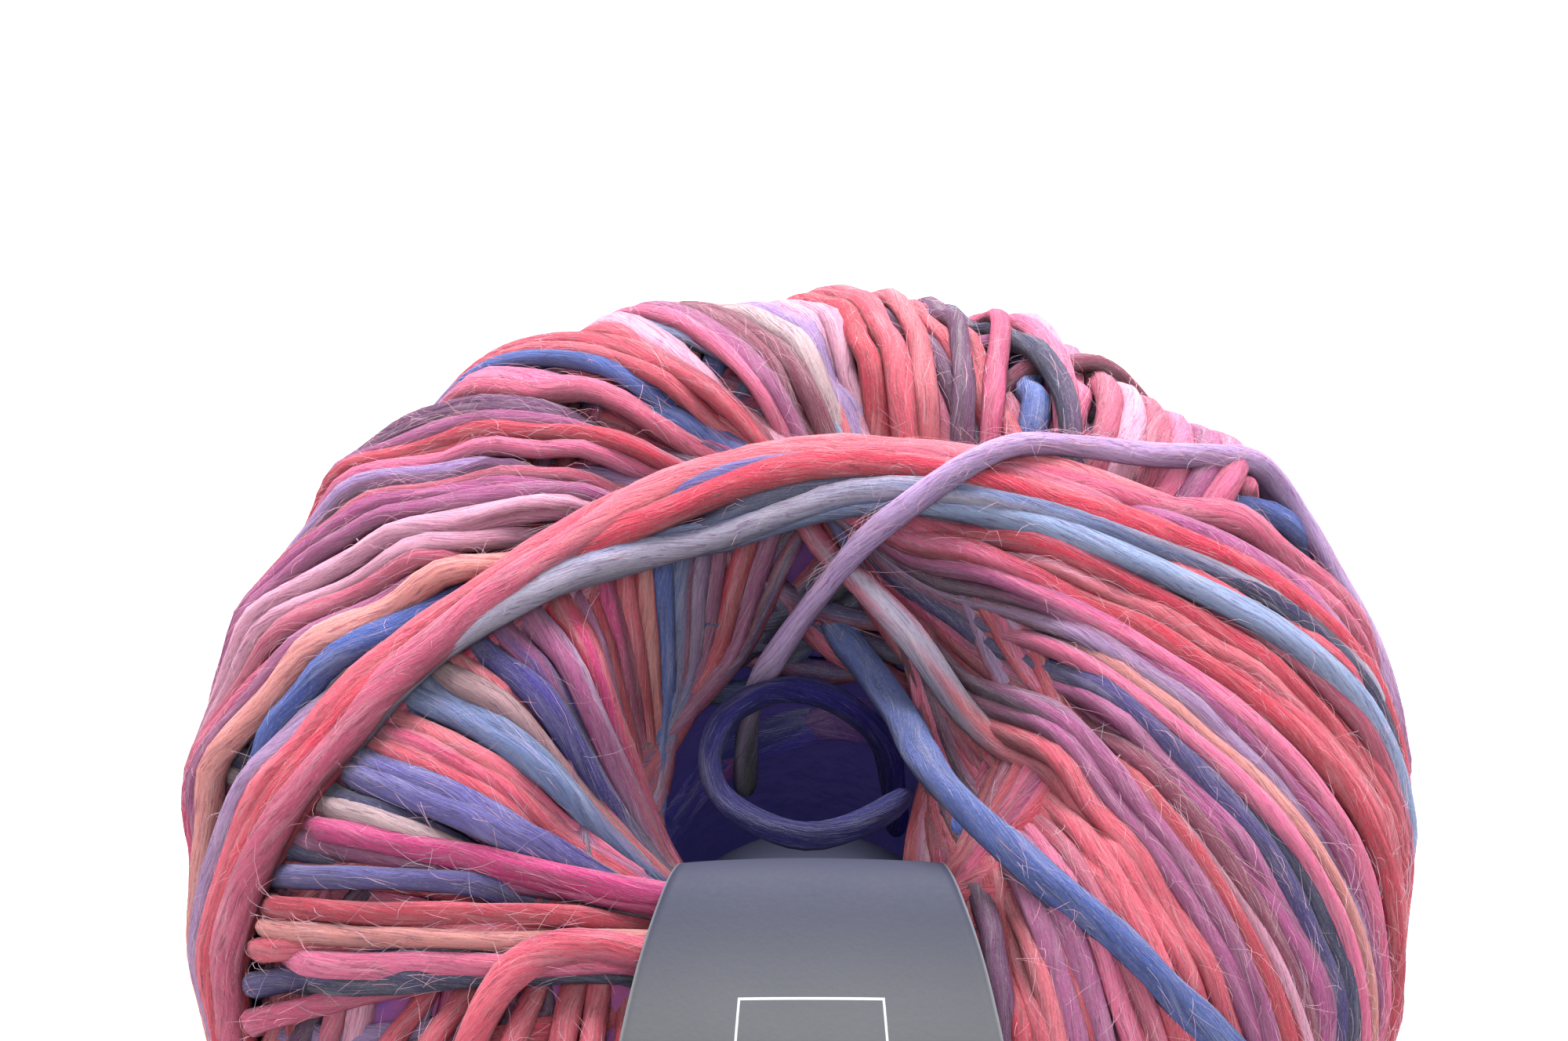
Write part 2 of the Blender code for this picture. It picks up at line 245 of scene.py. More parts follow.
TURNS = (
    # foot, distance, colours
    (96.0, 23.0, "rose", "wine", "dusty_rose"),
    (92.0, 22.8, "coral", "plum", "pale_pink"),
    (88.0, 23.4, "crimson", "wine", "pale_pink"),
    (85.0, 23.6, "rose", "plum", "mauve"),
    (82.0, 23.7, "coral", "mauve", "orchid"),
    (79.0, 23.6, "dusty_rose", "plum", "dusty_rose"),
    (77.0, 24.0, "coral", "lilac", "plum"),
    (74.0, 23.5, "crimson", "pink", "lilac"),
    (71.0, 23.3, "salmon", "pale_pink", "pink"),
    (68.5, 24.0, "coral", "lavender", "crimson"),
    (67.0, 22.6, "crimson", "pink", "crimson"),
    (64.0, 22.0, "pink", "orchid", "mauve"),
    (62.0, 21.8, "orchid", "plum", "plum"),
    (60.0, 21.5, "lavender", "wine", "plum"),
    (57.5, 21.3, "peach", "lilac", "coral"),
    (55.5, 20.8, "pink", "plum", "rose"),
    (54.0, 21.0, "navy", "indigo", "dusty_rose"),
    (51.5, 20.6, "indigo", "indigo", "pink"),
    (50.0, 20.2, "mauve", "orchid", "pink"),
    (48.0, 20.0, "orchid", "rose", "cornflower"),
    (46.5, 19.8, "wine", "orchid", "cornflower"),
    (45.0, 19.5, "pale_pink", "mauve", "coral"),
    (43.0, 19.9, "crimson", "wine", "coral"),
    (41.6, 19.4, "crimson", "magenta", "coral"),
    (41.0, 18.5, "mauve", "plum", "coral"),
    (40.5, 17.5, "mauve", "wine", "cornflower"),
    (38.4, 16.6, "coral", "coral", "coral"),
    (41.0, 14.8, "salmon", "silver", "dusty_rose"),
    (35.5, 16.0, "coral", "silver", "coral"),
    (33.0, 16.0, "coral", "steel", "pale_pink"),
    (31.0, 15.8, "coral", "coral", "pale_pink"),
    (28.5, 15.5, "dusty_rose", "coral", "pink"),
    (26.0, 15.5, "pink", "coral", "mauve"),
    (23.5, 15.2, "mauve", "plum", "wine"),
    (21.0, 15.0, "crimson", "coral", "wine"),
    (19.0, 14.8, "mauve", "pink", "cream"),
    (17.5, 14.6, "salmon", "coral", "cream"),
    (15.5, 14.5, "coral", "magenta", "salmon"),
    (13.5, 14.4, "crimson", "plum", "lilac"),
    (11.5, 14.3, "plum", "mauve", "pale_pink"),
    (10.0, 14.1, "salmon", "pink", "pale_pink"),
    (7.5, 14.0, "magenta", "plum", "crimson"),
    (4.0, 14.3, "coral", "wine", "coral"),
    (0.0, 14.2, "plum", "pink", "salmon"),
    (-5.0, 14.4, "pale_pink", "magenta", "plum"),
    (-10.0, 14.2, "crimson", "coral", "rose"),
    # the far side, under those
    (36.5, 24.6, "coral", "pink", "sky"),
    (34.0, 25.0, "coral", "mauve", "cream"),
    (29.0, 23.5, "crimson", "coral", "pink"),
    (26.0, 24.0, "magenta", "pink", "pale_pink"),
    (22.0, 22.0, "coral", "lavender", "lilac"),
    (20.0, 26.0, "pink", "coral", "silver"),
    (17.5, 26.0, "plum", "coral", "dusty_rose"),
    (15.0, 26.5, "mauve", "pink", "pink"),
    (12.0, 26.6, "lilac", "coral", "plum"),
    (8.0, 27.0, "pink", "crimson", "coral"),
    (5.0, 27.5, "dusty_rose", "coral", "coral"),
    (2.0, 32.4, "pink", "plum", "navy"),
    (-1.0, 31.0, "dusty_rose", "mauve", "pink"),
    (-4.0, 30.0, "rose", "mauve", "pale_pink"),
    # the left fan
    (257.5, 25.7, "magenta", "magenta", "plum"),
    (256.0, 26.2, "magenta", "magenta", "plum"),
    (261.5, 24.3, "mauve", "plum", "mauve"),
    (254.0, 26.4, "cream", "plum", "coral"),
    (270.0, 25.3, "crimson", "coral", "magenta"),
    (270.0, 28.5, "peach", "peach", "coral"),
    (276.0, 23.5, "coral", "coral", "rose"),
    (274.0, 29.0, "pink", "coral", "pink"),
    (281.0, 22.0, "indigo", "indigo", "mauve"),
    (278.0, 27.5, "navy", "navy", "mauve"),
    (286.0, 20.5, "rose", "coral", "pink"),
    (248.0, 26.0, "periwinkle", "indigo", "indigo"),
    (245.5, 26.0, "periwinkle", "periwinkle", "mauve"),
    (267.0, 23.0, "periwinkle", "indigo", "coral"),
    (266.0, 24.0, "coral", "coral", "plum"),
    (263.5, 23.6, "indigo", "indigo", "pink"),
    (260.0, 25.0, "beige", "mauve", "crimson"),
    (251.0, 26.8, "navy", "indigo", "pink"),
    (242.0, 25.3, "coral", "coral", "pink"),
    (239.0, 24.8, "rose", "coral", "lilac"),
    (236.0, 24.0, "salmon", "pink", "crimson"),
    (232.0, 22.6, "steel", "steel", "coral"),
    (230.0, 22.2, "steel", "sky", "mauve"),
    (226.0, 21.7, "beige", "salmon", "coral"),
    (223.0, 21.2, "salmon", "salmon", "pink"),
    (218.0, 20.4, "indigo", "violet", "plum"),
    (214.0, 19.6, "mauve", "violet", "coral"),
    (208.0, 18.3, "mauve", "lavender", "crimson"),
    (203.0, 17.3, "crimson", "magenta", "coral"),
    (199.0, 16.8, "mauve", "wine", "pink"),
    (195.0, 16.5, "crimson", "crimson", "mauve"),
    (190.0, 16.2, "magenta", "wine", "magenta"),
    (185.0, 15.8, "salmon", "crimson", "pink"),
    (180.0, 15.4, "peach", "crimson", "coral"),
    (175.0, 15.0, "cornflower", "cornflower", "crimson"),
    (170.0, 14.7, "steel", "lavender", "coral"),
    (165.0, 14.5, "lavender", "steel", "coral"),
    (159.0, 14.3, "mauve", "mauve", "coral"),
    (153.0, 14.2, "crimson", "rose", "coral"),
    (147.0, 14.1, "mauve", "mauve", "coral"),
    (140.0, 14.0, "wine", "indigo", "coral"),
)

# Least and most width of the turns with a foot below each angle
TURN_WIDTHS = ((135, (0.80, 1.12)), (200, (0.90, 1.12)), (250, (1.00, 1.24)), (360, (0.84, 1.02)))

# Turns that show on the far shoulder behind the lilac end, and pass under the band: feet,
# distances, dyes by the hole and on the shoulder
SHOULDER_TURNS = (
    (-13.0, 18.0, "coral", "cornflower"),
    (-15.5, 19.0, "dusty_rose", "magenta"),
    (-18.0, 20.0, "rose", "pink"),
    (-20.5, 21.0, "coral", "dusty_rose"),
    (-23.0, 22.0, "dusty_rose", "pale_pink"),
    (-25.5, 23.0, "coral", "dusty_rose"),
    (-28.0, 24.0, "rose", "pink"),
    (-30.5, 25.0, "dusty_rose", "mauve"),
    (-33.0, 26.0, "coral", "pink"),
)

# How deep the turns of a group lie at least
LEAST_DEPTHS = {"shoulder_turns": 1.0, "lower_turns": 2.2}

# Turns that show only where they pass the hole, on its far side: feet and distances
RIM_TURNS = tuple((58.0 + 9.0 * step, 15.0 + 1.4 * (step % 3)) for step in range(9))
RIM_DYES = "mauve indigo salmon violet wine cornflower plum cream navy rose".split()

# Turns under all of those
HIDDEN_TURNS = 76
HIDDEN_DYES = (
    "coral dusty_rose pink mauve crimson rose plum lilac coral pink wine cornflower "
    "navy pale_pink magenta salmon rose coral mauve lavender indigo steel orchid"
).split()

# Slack strands that lie on top: points in the hole, then angle from +X and distance along the
# top from the hole's axis, the dyes, the width and how far they stand off
SLACK_STRANDS = (
    (
        ((2.0, 19.0, 67.0), (4.4, 15.4, 67.5), (6.8, 12.0, 68.2), (9.6, 6.2, 69.8),
         (11.6, -0.6, 73.4), (13.2, -7.6, 77.6), (17.2, -13.8, 80.6)),
        ((-42, 30), (-41, 36), (-40.8, 42), (-41, 48), (-40, 56), (-39, 62), (-38.5, 70), (-39, 78),
         (-40, 88)),
        (*["denim"] * 5, "steel", "lavender"),
        1.30,
        1.5,
    ),
    (
        (),
        ((240, 84), (236, 72), (233, 60), (230.5, 53), (228.5, 47), (227, 42), (227.5, 38),
         (231, 34.8), (237, 33.4), (244, 32.6), (256, 31)),
        ("rose", *["coral"] * 3, "dusty_rose"),
        1.25,
        1.6,
    ),
)

# A strand's tube: sides, spacing of its rings and half its width and thickness
SIDES = 10
FEWER_SIDES = 6
TAIL_SIDES = 12
RING_SPACING = 2.3
TAIL_RING_SPACING = 1.6
HALF_WIDTH = 1.4
HALF_THICKNESS = 1.2
# How much deeper a turn lies where it crosses another, the deepest that the first and the last
# turn may lie, and how much deeper they may lie by the hole
STACK_STEP = 1.75
SHALLOWEST_CAP = 3.2
DEEPEST_CAP = 5.3
DEEPER_AT_HOLE = 4.5
# How far a turn dips into the hole's mouth at most
SHALLOW_SAG = 3.0
USUAL_SAG = 6.0
RIM_SAG = 14.0

# Strands on the wall of the hole
WALL_STRANDS = 84
WALL_DYES = "violet indigo violet plum navy violet wine".split()
# Shares that spread places evenly, however many there are
GOLDEN_TURN = 0.381966
GOLDEN_STEP = 0.618034

# Loose fibres
FUZZ_FIBRES = 17400
FIBRE_WIDTH = 0.000036
SHORT_FIBRES = (1.2, 3.5)
LONG_FIBRES = (2.5, 6.5)
FIBRE_POINTS = np.array((0.0, 0.35, 0.7, 1.0))
FIBRE_RADII = np.array((0.9, 1.0, 0.8, 0.35))
# How far a fibre may reach past the solids' box
MOST_PAST_CAD = 7.0

# Colours that aren't dyes, as linear numbers
PALE_WOOL = (0.93, 0.84, 0.89, 1.0)
# A darker copy of the wool: uneven tone in streaks and fluff, painted shade in the pores
DEEP_WOOL = (0.40, 0.24, 0.38, 1.0)
PAINTED_GLOW_TINT = (0.05, 0.055, 0.33, 1.0)
PAPER = (0.092, 0.094, 0.104)
PAPER_IN_SHADE = (0.016, 0.018, 0.045, 1.0)
WORN_PAPER = (0.30, 0.31, 0.33, 1.0)
PALE_LINE = (0.62, 0.64, 0.66, 1.0)

# The band's paper: faces across it, and its width where the square is
BAND_FACES_ACROSS = 28
BAND_WIDTH = 42.0

# The photo's frame, and where the middle of the cake lands from the middle of it, in pixels
PHOTO_WIDTH = 2000
FOCAL_PIXELS = 6550
MIDDLE_RIGHT = 19
MIDDLE_BELOW = 474
CAMERA_ELEVATION = math.radians(60)
CAMERA_DISTANCE = 0.55
CAMERA_TARGET = (0.0, 0.0, 0.041)
LIGHT_TARGET = (0.0, 0.0, 0.04)
FLOOR_RADIUS = 2.4


# ---------------------------------------------------------------- small helpers
def linear(colour):
    """sRGB numbers as the linear ones that a shader takes."""
    return tuple(c / 12.92 if c <= 0.04045 else ((c + 0.055) / 1.055) ** 2.4 for c in colour)


def dye(name):
    """A dye's linear colour, made a little deeper and redder to suit the studio's light."""
    return np.array((*linear(DYES[name]), 1.0)) ** 1.15 * (1.08, 0.93, 1.06, 1.0)


def smooth(share):
    share = np.clip(share, 0.0, 1.0)
    return share * share * (3 - 2 * share)


def unit(rows):
    """Each row at a length of 1."""
    return rows / np.linalg.norm(rows, axis=1)[:, None]


def square_to(tangents, rows):
    """The rows without what lies along the tangents, at a length of 1."""
    return unit(rows - tangents * np.sum(rows * tangents, axis=1)[:, None])


def travelled(points):
    """How far along a line of points each of them is."""
    steps = np.linalg.norm(np.diff(points, axis=0), axis=1)
    return np.concatenate(([0.0], np.cumsum(steps)))


def from_axis(points):
    return np.hypot(points[:, 0], points[:, 1])


def strip_half_width(radius):
    """Half the width of the strip under the band, at each distance from the axis."""
    return STRIP_HALF_WIDTH + STRIP_WIDENING * np.clip(
        (radius - HOLE_RADIUS) / (OUTER_RADIUS - HOLE_RADIUS), 0, 1
    )


def blur_round(values, reach):
    """A closed row of numbers, blurred over so many neighbours each way."""
    if reach < 1:
        return values
    kernel = np.hanning(2 * reach + 3)[1:-1]
    kernel /= kernel.sum()
    padded = np.concatenate((values[-reach:], values, values[:reach]))
    return np.convolve(padded, kernel, "valid")


def slow_noise(count, knots, generator):
    """A closed row of smooth random numbers, about -1 to 1."""
    phases = generator.uniform(0, 2 * np.pi, knots)
    along = np.arange(count) / count * 2 * np.pi
    total = sum(np.sin(along * (k + 1) + phases[k]) / (1 + 0.25 * k) for k in range(knots))
    return total / math.sqrt(knots)


def catmull_rom(rows, steps, closed=False):
    """Smooth rows of numbers through the given rows."""
    rows = np.asarray(rows, float)
    if closed:
        padded = np.vstack((rows[-1:], rows, rows[:2]))
    else:
        padded = np.vstack((rows[:1], rows, rows[-1:]))
    result = []
    for index in range(len(padded) - 3):
        before, start, end, after = padded[index : index + 4]
        for step in range(steps):
            t = step / steps
            slope_in, slope_out = (end - before) / 2, (after - start) / 2
            bend = 3 * (end - start) - 2 * slope_in - slope_out
            twist = 2 * (start - end) + slope_in + slope_out
            result.append(start + slope_in * t + bend * t * t + twist * t**3)
    if not closed:
        result.append(rows[-1])
    return np.array(result)


def even_points(points, spacing):
    """Points about so far apart along the same line."""
    lengths = travelled(points)
    count = max(2, round(lengths[-1] / spacing))
    targets = np.linspace(0, lengths[-1], count + 1)
    return np.column_stack([np.interp(targets, lengths, points[:, k]) for k in range(3)])


# ---------------------------------------------------------------- the cake's surface
def reach_of_section(polar):
    """How far the plain form reaches from the middle, at each angle from straight up."""
    across = np.sin(polar) / SECTION_RADIUS
    up = np.abs(np.cos(polar)) / SECTION_HALF_HEIGHT
    return (across**SQUARENESS + up**SQUARENESS) ** (-1 / SQUARENESS)


def bundle_lift(directions):
    """How far the bundles raise the surface in each direction from the middle."""
    raised = np.zeros(len(directions))
    on_face = np.minimum(1.0, np.abs(directions[:, 2]) / 0.8) ** 2
    flat = np.hypot(directions[:, 0], directions[:, 1])
    for foot, radius, half_width, lift, side_lift, bend in BUNDLES:
        tilt = math.atan2(radius, HALF_HEIGHT)
        sideways = np.arctan2(directions[:, 1], directions[:, 0]) - math.radians(foot)
        turned = sideways - math.radians(bend) * np.sin(sideways)
        off_plane = flat * np.cos(turned) * math.cos(tilt) - directions[:, 2] * math.sin(tilt)
        off_line = off_plane * OUTER_RADIUS / half_width
        here = side_lift + (lift - side_lift) * on_face
        raised = np.maximum(raised, here * np.exp(-off_line * off_line))
    return raised


def surface_lift(directions):
    """How far the cake stands out past its plain form in each direction from the middle."""
    angle = np.degrees(np.arctan2(directions[:, 1], directions[:, 0]))
    polar = np.degrees(np.arccos(np.clip(directions[:, 2], -1, 1)))
    shoulder = np.exp(-(((angle - 36) / 30) ** 2) - ((polar - 62) / 20) ** 2)
    far_side = smooth((130 - np.abs(angle - 140)) / 50)
    return bundle_lift(directions) + 1.6 * shoulder + 0.9 * far_side


def mouth_dip(radius, top):
    """How far the rounded mouth lies under the end face at this distance from the axis."""
    inward = np.clip((MOUTH_RADIUS - radius) / (MOUTH_RADIUS - HOLE_RADIUS), 0.0, 1.0)
    sine = inward ** (MOUTH_SQUARENESS / 2)
    cosine = np.sqrt(np.maximum(0.0, 1 - sine * sine))
    depth = np.where(top, TOP_MOUTH_DEPTH, UNDER_MOUTH_DEPTH)
    return depth * (1 - cosine ** (2 / MOUTH_SQUARENESS))


class Surface:
    """The outside of the cake as the yarn meets it: the plain form, its bundles and the band."""

    def __init__(self):
        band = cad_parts["paper_band"]
        points = [vertex.co / MM for vertex in band.data.vertices]
        faces = [tuple(polygon.vertices) for polygon in band.data.polygons]
        self.band = BVHTree.FromPolygons(points, faces)

    def reach(self, directions, clearance):
        """Distances from the middle to where a strand's centre line may lie, in each direction."""
        polar = np.arccos(np.clip(directions[:, 2], -1, 1))
        reach = reach_of_section(polar) + surface_lift(directions)
        x = directions[:, 0] * reach - BAND_SIDEWAYS
        y = directions[:, 1] * reach
        radius = np.hypot(x, y)
        half = strip_half_width(radius)
        beside = smooth(1 - (np.abs(x) - half) / 8.0) * np.clip(-y / 8.0, 0, 1)
        reach = reach - 1.6 * beside - clearance
        middle = Vector(MIDDLE)
        for index in np.nonzero(beside > 0.02)[0]:
            direction = Vector(directions[index])
            outer = middle + direction * float(reach[index] + RAY_START)
            place, _, _, distance = self.band.ray_cast(outer, -direction, RAY_LENGTH)
            if place is not None:
                under = RAY_START + reach[index] - distance - UNDER_BAND - clearance
                reach[index] = min(reach[index], under)
        return reach


# ---------------------------------------------------------------- routes of the turns
class Route:
    """A strand's centre line, with which way is out, its dye colours and its depth."""

    def __init__(self, points, outward, colours, width, closed):
        self.points, self.outward, self.colours = points, outward, colours
        self.width, self.closed = width, closed
        self.depth = np.zeros(len(points))

    def tangents(self):
        if self.closed:
            ahead = np.roll(self.points, -1, 0) - np.roll(self.points, 1, 0)
        else:
            ahead = np.gradient(self.points, axis=0)
        return unit(ahead)


def colours_round(sides_of_foot, right, foot, left):
    """Dye colours round a closed turn, from the angle past its foot, in degrees."""
    right, foot, left = dye(right), dye(foot), dye(left)
    to_left = smooth((sides_of_foot - 12) / 34)[:, None]
    to_right = smooth((-sides_of_foot - 12) / 34)[:, None]
    colours = foot * (1 - to_left - to_right) + left * to_left + right * to_right
    under = smooth((np.abs(sides_of_foot) - 140) / 80)[:, None]
    return colours * (1 - under) + (left + right) / 2 * under


def turn_route(surface, generator, foot, distance, bends, dyes, width, sag=USUAL_SAG):
    """A closed turn of yarn round the middle of the cake, before it is pressed under others."""
    tilt = math.atan2(distance, SECTION_HALF_HEIGHT)
    foot = math.radians(foot)
    around = np.array((-math.sin(foot), math.cos(foot), 0.0))
    leaning, upright = math.sin(tilt), math.cos(tilt)
    over = np.array((math.cos(foot) * leaning, math.sin(foot) * leaning, upright))
    fine = np.linspace(-np.pi, np.pi, 1441)
    directions = np.cos(fine)[:, None] * over + np.sin(fine)[:, None] * around
    polar = np.arccos(np.clip(directions[:, 2], -1, 1))
    rough = directions * reach_of_section(polar)[:, None]
    lengths = travelled(rough)
    count = round(lengths[-1] / RING_SPACING)
    angles = np.interp(np.arange(count) / count * lengths[-1], lengths, fine)
    directions = np.cos(angles)[:, None] * over + np.sin(angles)[:, None] * around
    flat = from_axis(directions)
    sideways = np.arctan2(directions[:, 1], directions[:, 0]) - foot
    sideways = (sideways + np.pi) % (2 * np.pi) - np.pi
    bend = np.where(sideways < 0, math.radians(bends[0]), math.radians(bends[1]))
    turned = sideways.copy()
    for _ in range(30):
        turned = sideways + bend * np.sin(turned) * np.abs(np.sin(turned))
    turned += 0.016 * slow_noise(count, 5, generator)
    bearing = foot + turned
    directions = np.column_stack((flat * np.cos(bearing), flat * np.sin(bearing), directions[:, 2]))
    reach = surface.reach(directions, HALF_THICKNESS + 0.2)
    points = MIDDLE + directions * reach[:, None]
    above = points[:, 2] > MIDDLE[2]
    dip = mouth_dip(from_axis(points) - 0.4, above)
    dip = blur_round(np.where(above, np.minimum(dip, sag), dip), 3)
    points[:, 2] -= dip * np.sign(points[:, 2] - MIDDLE[2])
    for axis in range(3):
        points[:, axis] = blur_round(points[:, axis], 1)
    points[:, 2] = np.maximum(points[:, 2], HALF_THICKNESS)
    colours = colours_round(np.degrees(turned), *dyes)
    return Route(points, directions, colours, width, True)


def slack_route(surface, lead, places, dyes, width, lift):
    """An open strand laid over the top, through places given as angle and distance."""
    places = catmull_rom(places, 16)
    angle = np.radians(places[:, 0])
    polar_table = np.linspace(0.05, 2.6, 900)
    reach_table = reach_of_section(polar_table)
    across = reach_table * np.sin(polar_table)
    up = reach_table * np.cos(polar_table)
    steps = np.hypot(np.diff(across), np.diff(up))
    along_top = across[0] + np.concatenate(([0.0], np.cumsum(steps)))
    polar = np.interp(places[:, 1], along_top, polar_table)
    directions = np.column_stack(
        (np.sin(polar) * np.cos(angle), np.sin(polar) * np.sin(angle), np.cos(polar))
    )
    reach = surface.reach(directions, HALF_THICKNESS + 0.2) + lift
    points = MIDDLE + directions * reach[:, None]
    if lead:
        points = catmull_rom(np.vstack((lead, points[::8])), 8)
    points = even_points(points, RING_SPACING * 0.8)
    for _ in range(10):
        points[1:-1] = (points[:-2] + 2 * points[1:-1] + points[2:]) / 4
    share = np.linspace(0, 1, len(points))
    first = 0.0 if lead else 1.0
    sink = 6.5 * (first * smooth(1 - share / 0.14) + smooth((share - 0.86) / 0.14))
    outward = unit(points - MIDDLE)
    points = points - outward * sink[:, None]
    return Route(points, outward, dyes_along(dyes, share), width, False)


def dyes_along(dyes, share):
    """Dye colours that change evenly along a strand."""
    knots = np.array([dye(name) for name in dyes])
    places = np.linspace(0, 1, len(knots))
    return np.column_stack([np.interp(share, places, knots[:, k]) for k in range(4)])


class Stack:
    """The strands laid so far, from the top one down. A new one goes under those it meets."""

    def __init__(self):
        self.points, self.tangents, self.depths = [], [], []

    def tuck_under(self, route, least, most):
        """Sets the route's depth, so that it passes under the strands already laid."""
        tangents = route.tangents()
        depth = np.full(len(route.points), least)
        radius = from_axis(route.points)
        if self.points:
            tree = KDTree(len(self.points))
            for index, point in enumerate(self.points):
                tree.insert(point, index)
            tree.balance()
            for index, point in enumerate(route.points):
                tangent = tangents[index]
                for _, other, _ in tree.find_range(point, 3.0):
                    apart = point - self.points[other]
                    along = self.tangents[other]
                    beside = apart - along * apart.dot(along)
                    crossing = min(1.0, math.sqrt(max(0.0, 1 - tangent.dot(along) ** 2)) / 0.35)
                    half = 0.85 + 1.15 * crossing
                    share = 1 - beside.dot(beside) / (half * half)
                    if share > 0:
                        step = STACK_STEP * (0.42 + 0.58 * crossing)
                        need = self.depths[other] + step * math.sqrt(share)
                        depth[index] = max(depth[index], need)
        depth = np.minimum(depth, most + DEEPER_AT_HOLE * smooth((26 - radius) / 8))
        depth = np.maximum(depth, np.maximum(np.roll(depth, 1), np.roll(depth, -1)))
        slope = 0.6 * RING_SPACING
        for _ in range(2):
            for index in range(len(depth)):
                depth[index] = max(depth[index], depth[index - 1] - slope)
            for index in range(len(depth) - 2, -2, -1):
                depth[index] = max(depth[index], depth[index + 1] - slope)
        route.depth = blur_round(depth, 1)
        for index, point in enumerate(route.points):
            self.points.append(point.copy())
            self.tangents.append(tangents[index])
            self.depths.append(route.depth[index])

    def press_in(self, route):
        """Moves the route in to its depth, straight down where it crosses an end face."""
        inwards = route.outward.copy()
        sideways = smooth((from_axis(route.points) - 34) / 22)
        inwards[:, :2] *= sideways[:, None]
        route.points = route.points - unit(inwards) * route.depth[:, None]
        route.points[:, 2] = np.maximum(route.points[:, 2], HALF_THICKNESS)


# ---------------------------------------------------------------- strands as meshes
def rings_of(route, generator, sides, half_width, half_thickness, taper=0.0):
    """The points of a soft, slightly lobed tube along a route, one ring to a row, with its dye
    colours and the painted shade on each ring.
    """
    points, tangents = route.points, route.tangents()
    outward = square_to(tangents, route.outward)
    across = np.cross(tangents, outward)
    count = len(points)
    along = travelled(points)
    slub = 1 + 0.10 * slow_noise(count, 14, generator)
    phase = generator.uniform(0, 2 * np.pi)
    twist = 2 * np.pi / generator.uniform(24, 34) * along
    if route.closed:
        twist *= round(twist[-1] / (2 * np.pi)) * 2 * np.pi / twist[-1]
    turn = np.linspace(0, 2 * np.pi, sides + 1)[None, :]
    lobes = 1 + 0.08 * np.sin(2 * turn + twist[:, None] + phase)
    lobes += 0.06 * np.sin(3 * turn - 2 * twist[:, None] + phase * 1.7)
    size = (slub * route.width)[:, None] * lobes
    if taper:
        ends = np.minimum(along, along[-1] - along) / taper
        size = size * np.sqrt(np.clip(ends, 0.0, 1.0))[:, None]
    rings = (
        points[:, None, :]
        - outward[:, None, :] * (np.cos(turn) * size * half_thickness)[:, :, None]
        + across[:, None, :] * (np.sin(turn) * size * half_width)[:, :, None]
    )
    # Fibres of one dye reach past those of the next, so the change is streaky.
    uneven = generator.normal(0, 5.0, sides)
    uneven = np.append(uneven, uneven[0])[None, :]
    places = np.clip(np.arange(count)[:, None] + np.round(uneven).astype(int), 0, count - 1)
    colours = route.colours[places]
    # Painted shade: each tube is darker on the side that faces the core, and darker the deeper it
    # lies under other strands. The mottle is the yarn's own uneven tone.
    painted_underside_shade = 0.42 + 0.58 * smooth((1 - np.cos(turn)) * 0.60)
    under = 1 / (1 + 0.07 * np.maximum(0.0, route.depth - 0.5))
    mottle = 1 + 0.07 * generator.normal(0, 1, (1, sides + 1))
    shade = (painted_underside_shade * under[:, None] * mottle)[:, :, None]
    dyes_with_painted_shade = colours[:, :, :3] ** (1 + 0.25 * (1 - shade)) * shade
    colours = np.concatenate((dyes_with_painted_shade, colours[:, :, 3:]), axis=2)
    colours[:, -1] = colours[:, 0]
    if route.closed:
        rings = np.concatenate((rings, rings[:1]))
        along = np.append(along, along[-1] + np.linalg.norm(points[-1] - points[0]))
        colours = np.concatenate((colours, colours[:1]))
    return rings, along, colours


def strands_mesh(name, bundles, generator):
    """One mesh of closed tubes, with dye colours that carry the rings' painted shade, a seed to
    each tube and the strand UV map, which runs once round the tube and in centimetres along it."""
    sides = bundles[0][0].shape[1] - 1
    rows = [len(rings) for rings, _, _ in bundles]
    shape = bmesh.new()
    shape.loops.layers.uv.new("strand")
    bmesh.ops.create_grid(shape, x_segments=sides, y_segments=sum(rows) - 1, size=0.5)
    mesh = bpy.data.meshes.new(name)
    shape.to_mesh(mesh)
    shape.free()
    points = np.concatenate([rings.reshape(-1, 3) for rings, _, _ in bundles]) * MM
    points[:, 2] = np.maximum(points[:, 2], 0.00005)
    mesh.vertices.foreach_set("co", points.astype(np.float32).ravel())
    around = np.tile(np.linspace(0, 1, sides + 1), sum(rows))
    along = np.concatenate([np.repeat(lengths, sides + 1) for _, lengths, _ in bundles]) * 0.1
    corners = np.empty(len(mesh.loops), np.int32)
    mesh.loops.foreach_get("vertex_index", corners)
    uv = np.column_stack((around, along))[corners]
    mesh.uv_layers["strand"].data.foreach_set("uv", uv.astype(np.float32).ravel())
    colours = np.concatenate([shades.reshape(-1, 4) for _, _, shades in bundles])
    # The dye attribute holds the dye colours with the painted shade of the rings in them.
    layer = mesh.attributes.new("dye", "FLOAT_COLOR", "POINT")
    layer.data.foreach_set("color", colours.astype(np.float32).ravel())
    seeds = np.repeat(generator.uniform(0, 40, len(rows)), [count * (sides + 1) for count in rows])
    layer = mesh.attributes.new("seed", "FLOAT", "POINT")
    layer.data.foreach_set("value", seeds.astype(np.float32))
    shape = bmesh.new()
    shape.from_mesh(mesh)
    shape.faces.ensure_lookup_table()
    ends = np.cumsum(rows)[:-1]
    between = [shape.faces[(end - 1) * sides + k] for end in ends for k in range(sides)]
    bmesh.ops.delete(shape, geom=between, context="FACES")
    bmesh.ops.remove_doubles(shape, verts=shape.verts, dist=2e-7)
    bmesh.ops.recalc_face_normals(shape, faces=shape.faces)
    shape.to_mesh(mesh)
    shape.free()
    mesh.shade_smooth()
    return mesh


def add_piece(name, data, material, nodes=()):
    piece = bpy.data.objects.new(name, data)
    bpy.context.scene.collection.objects.link(piece)
    data.materials.append(material)
    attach(piece, BODY)
    if nodes:
        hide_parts(*nodes)
    return piece


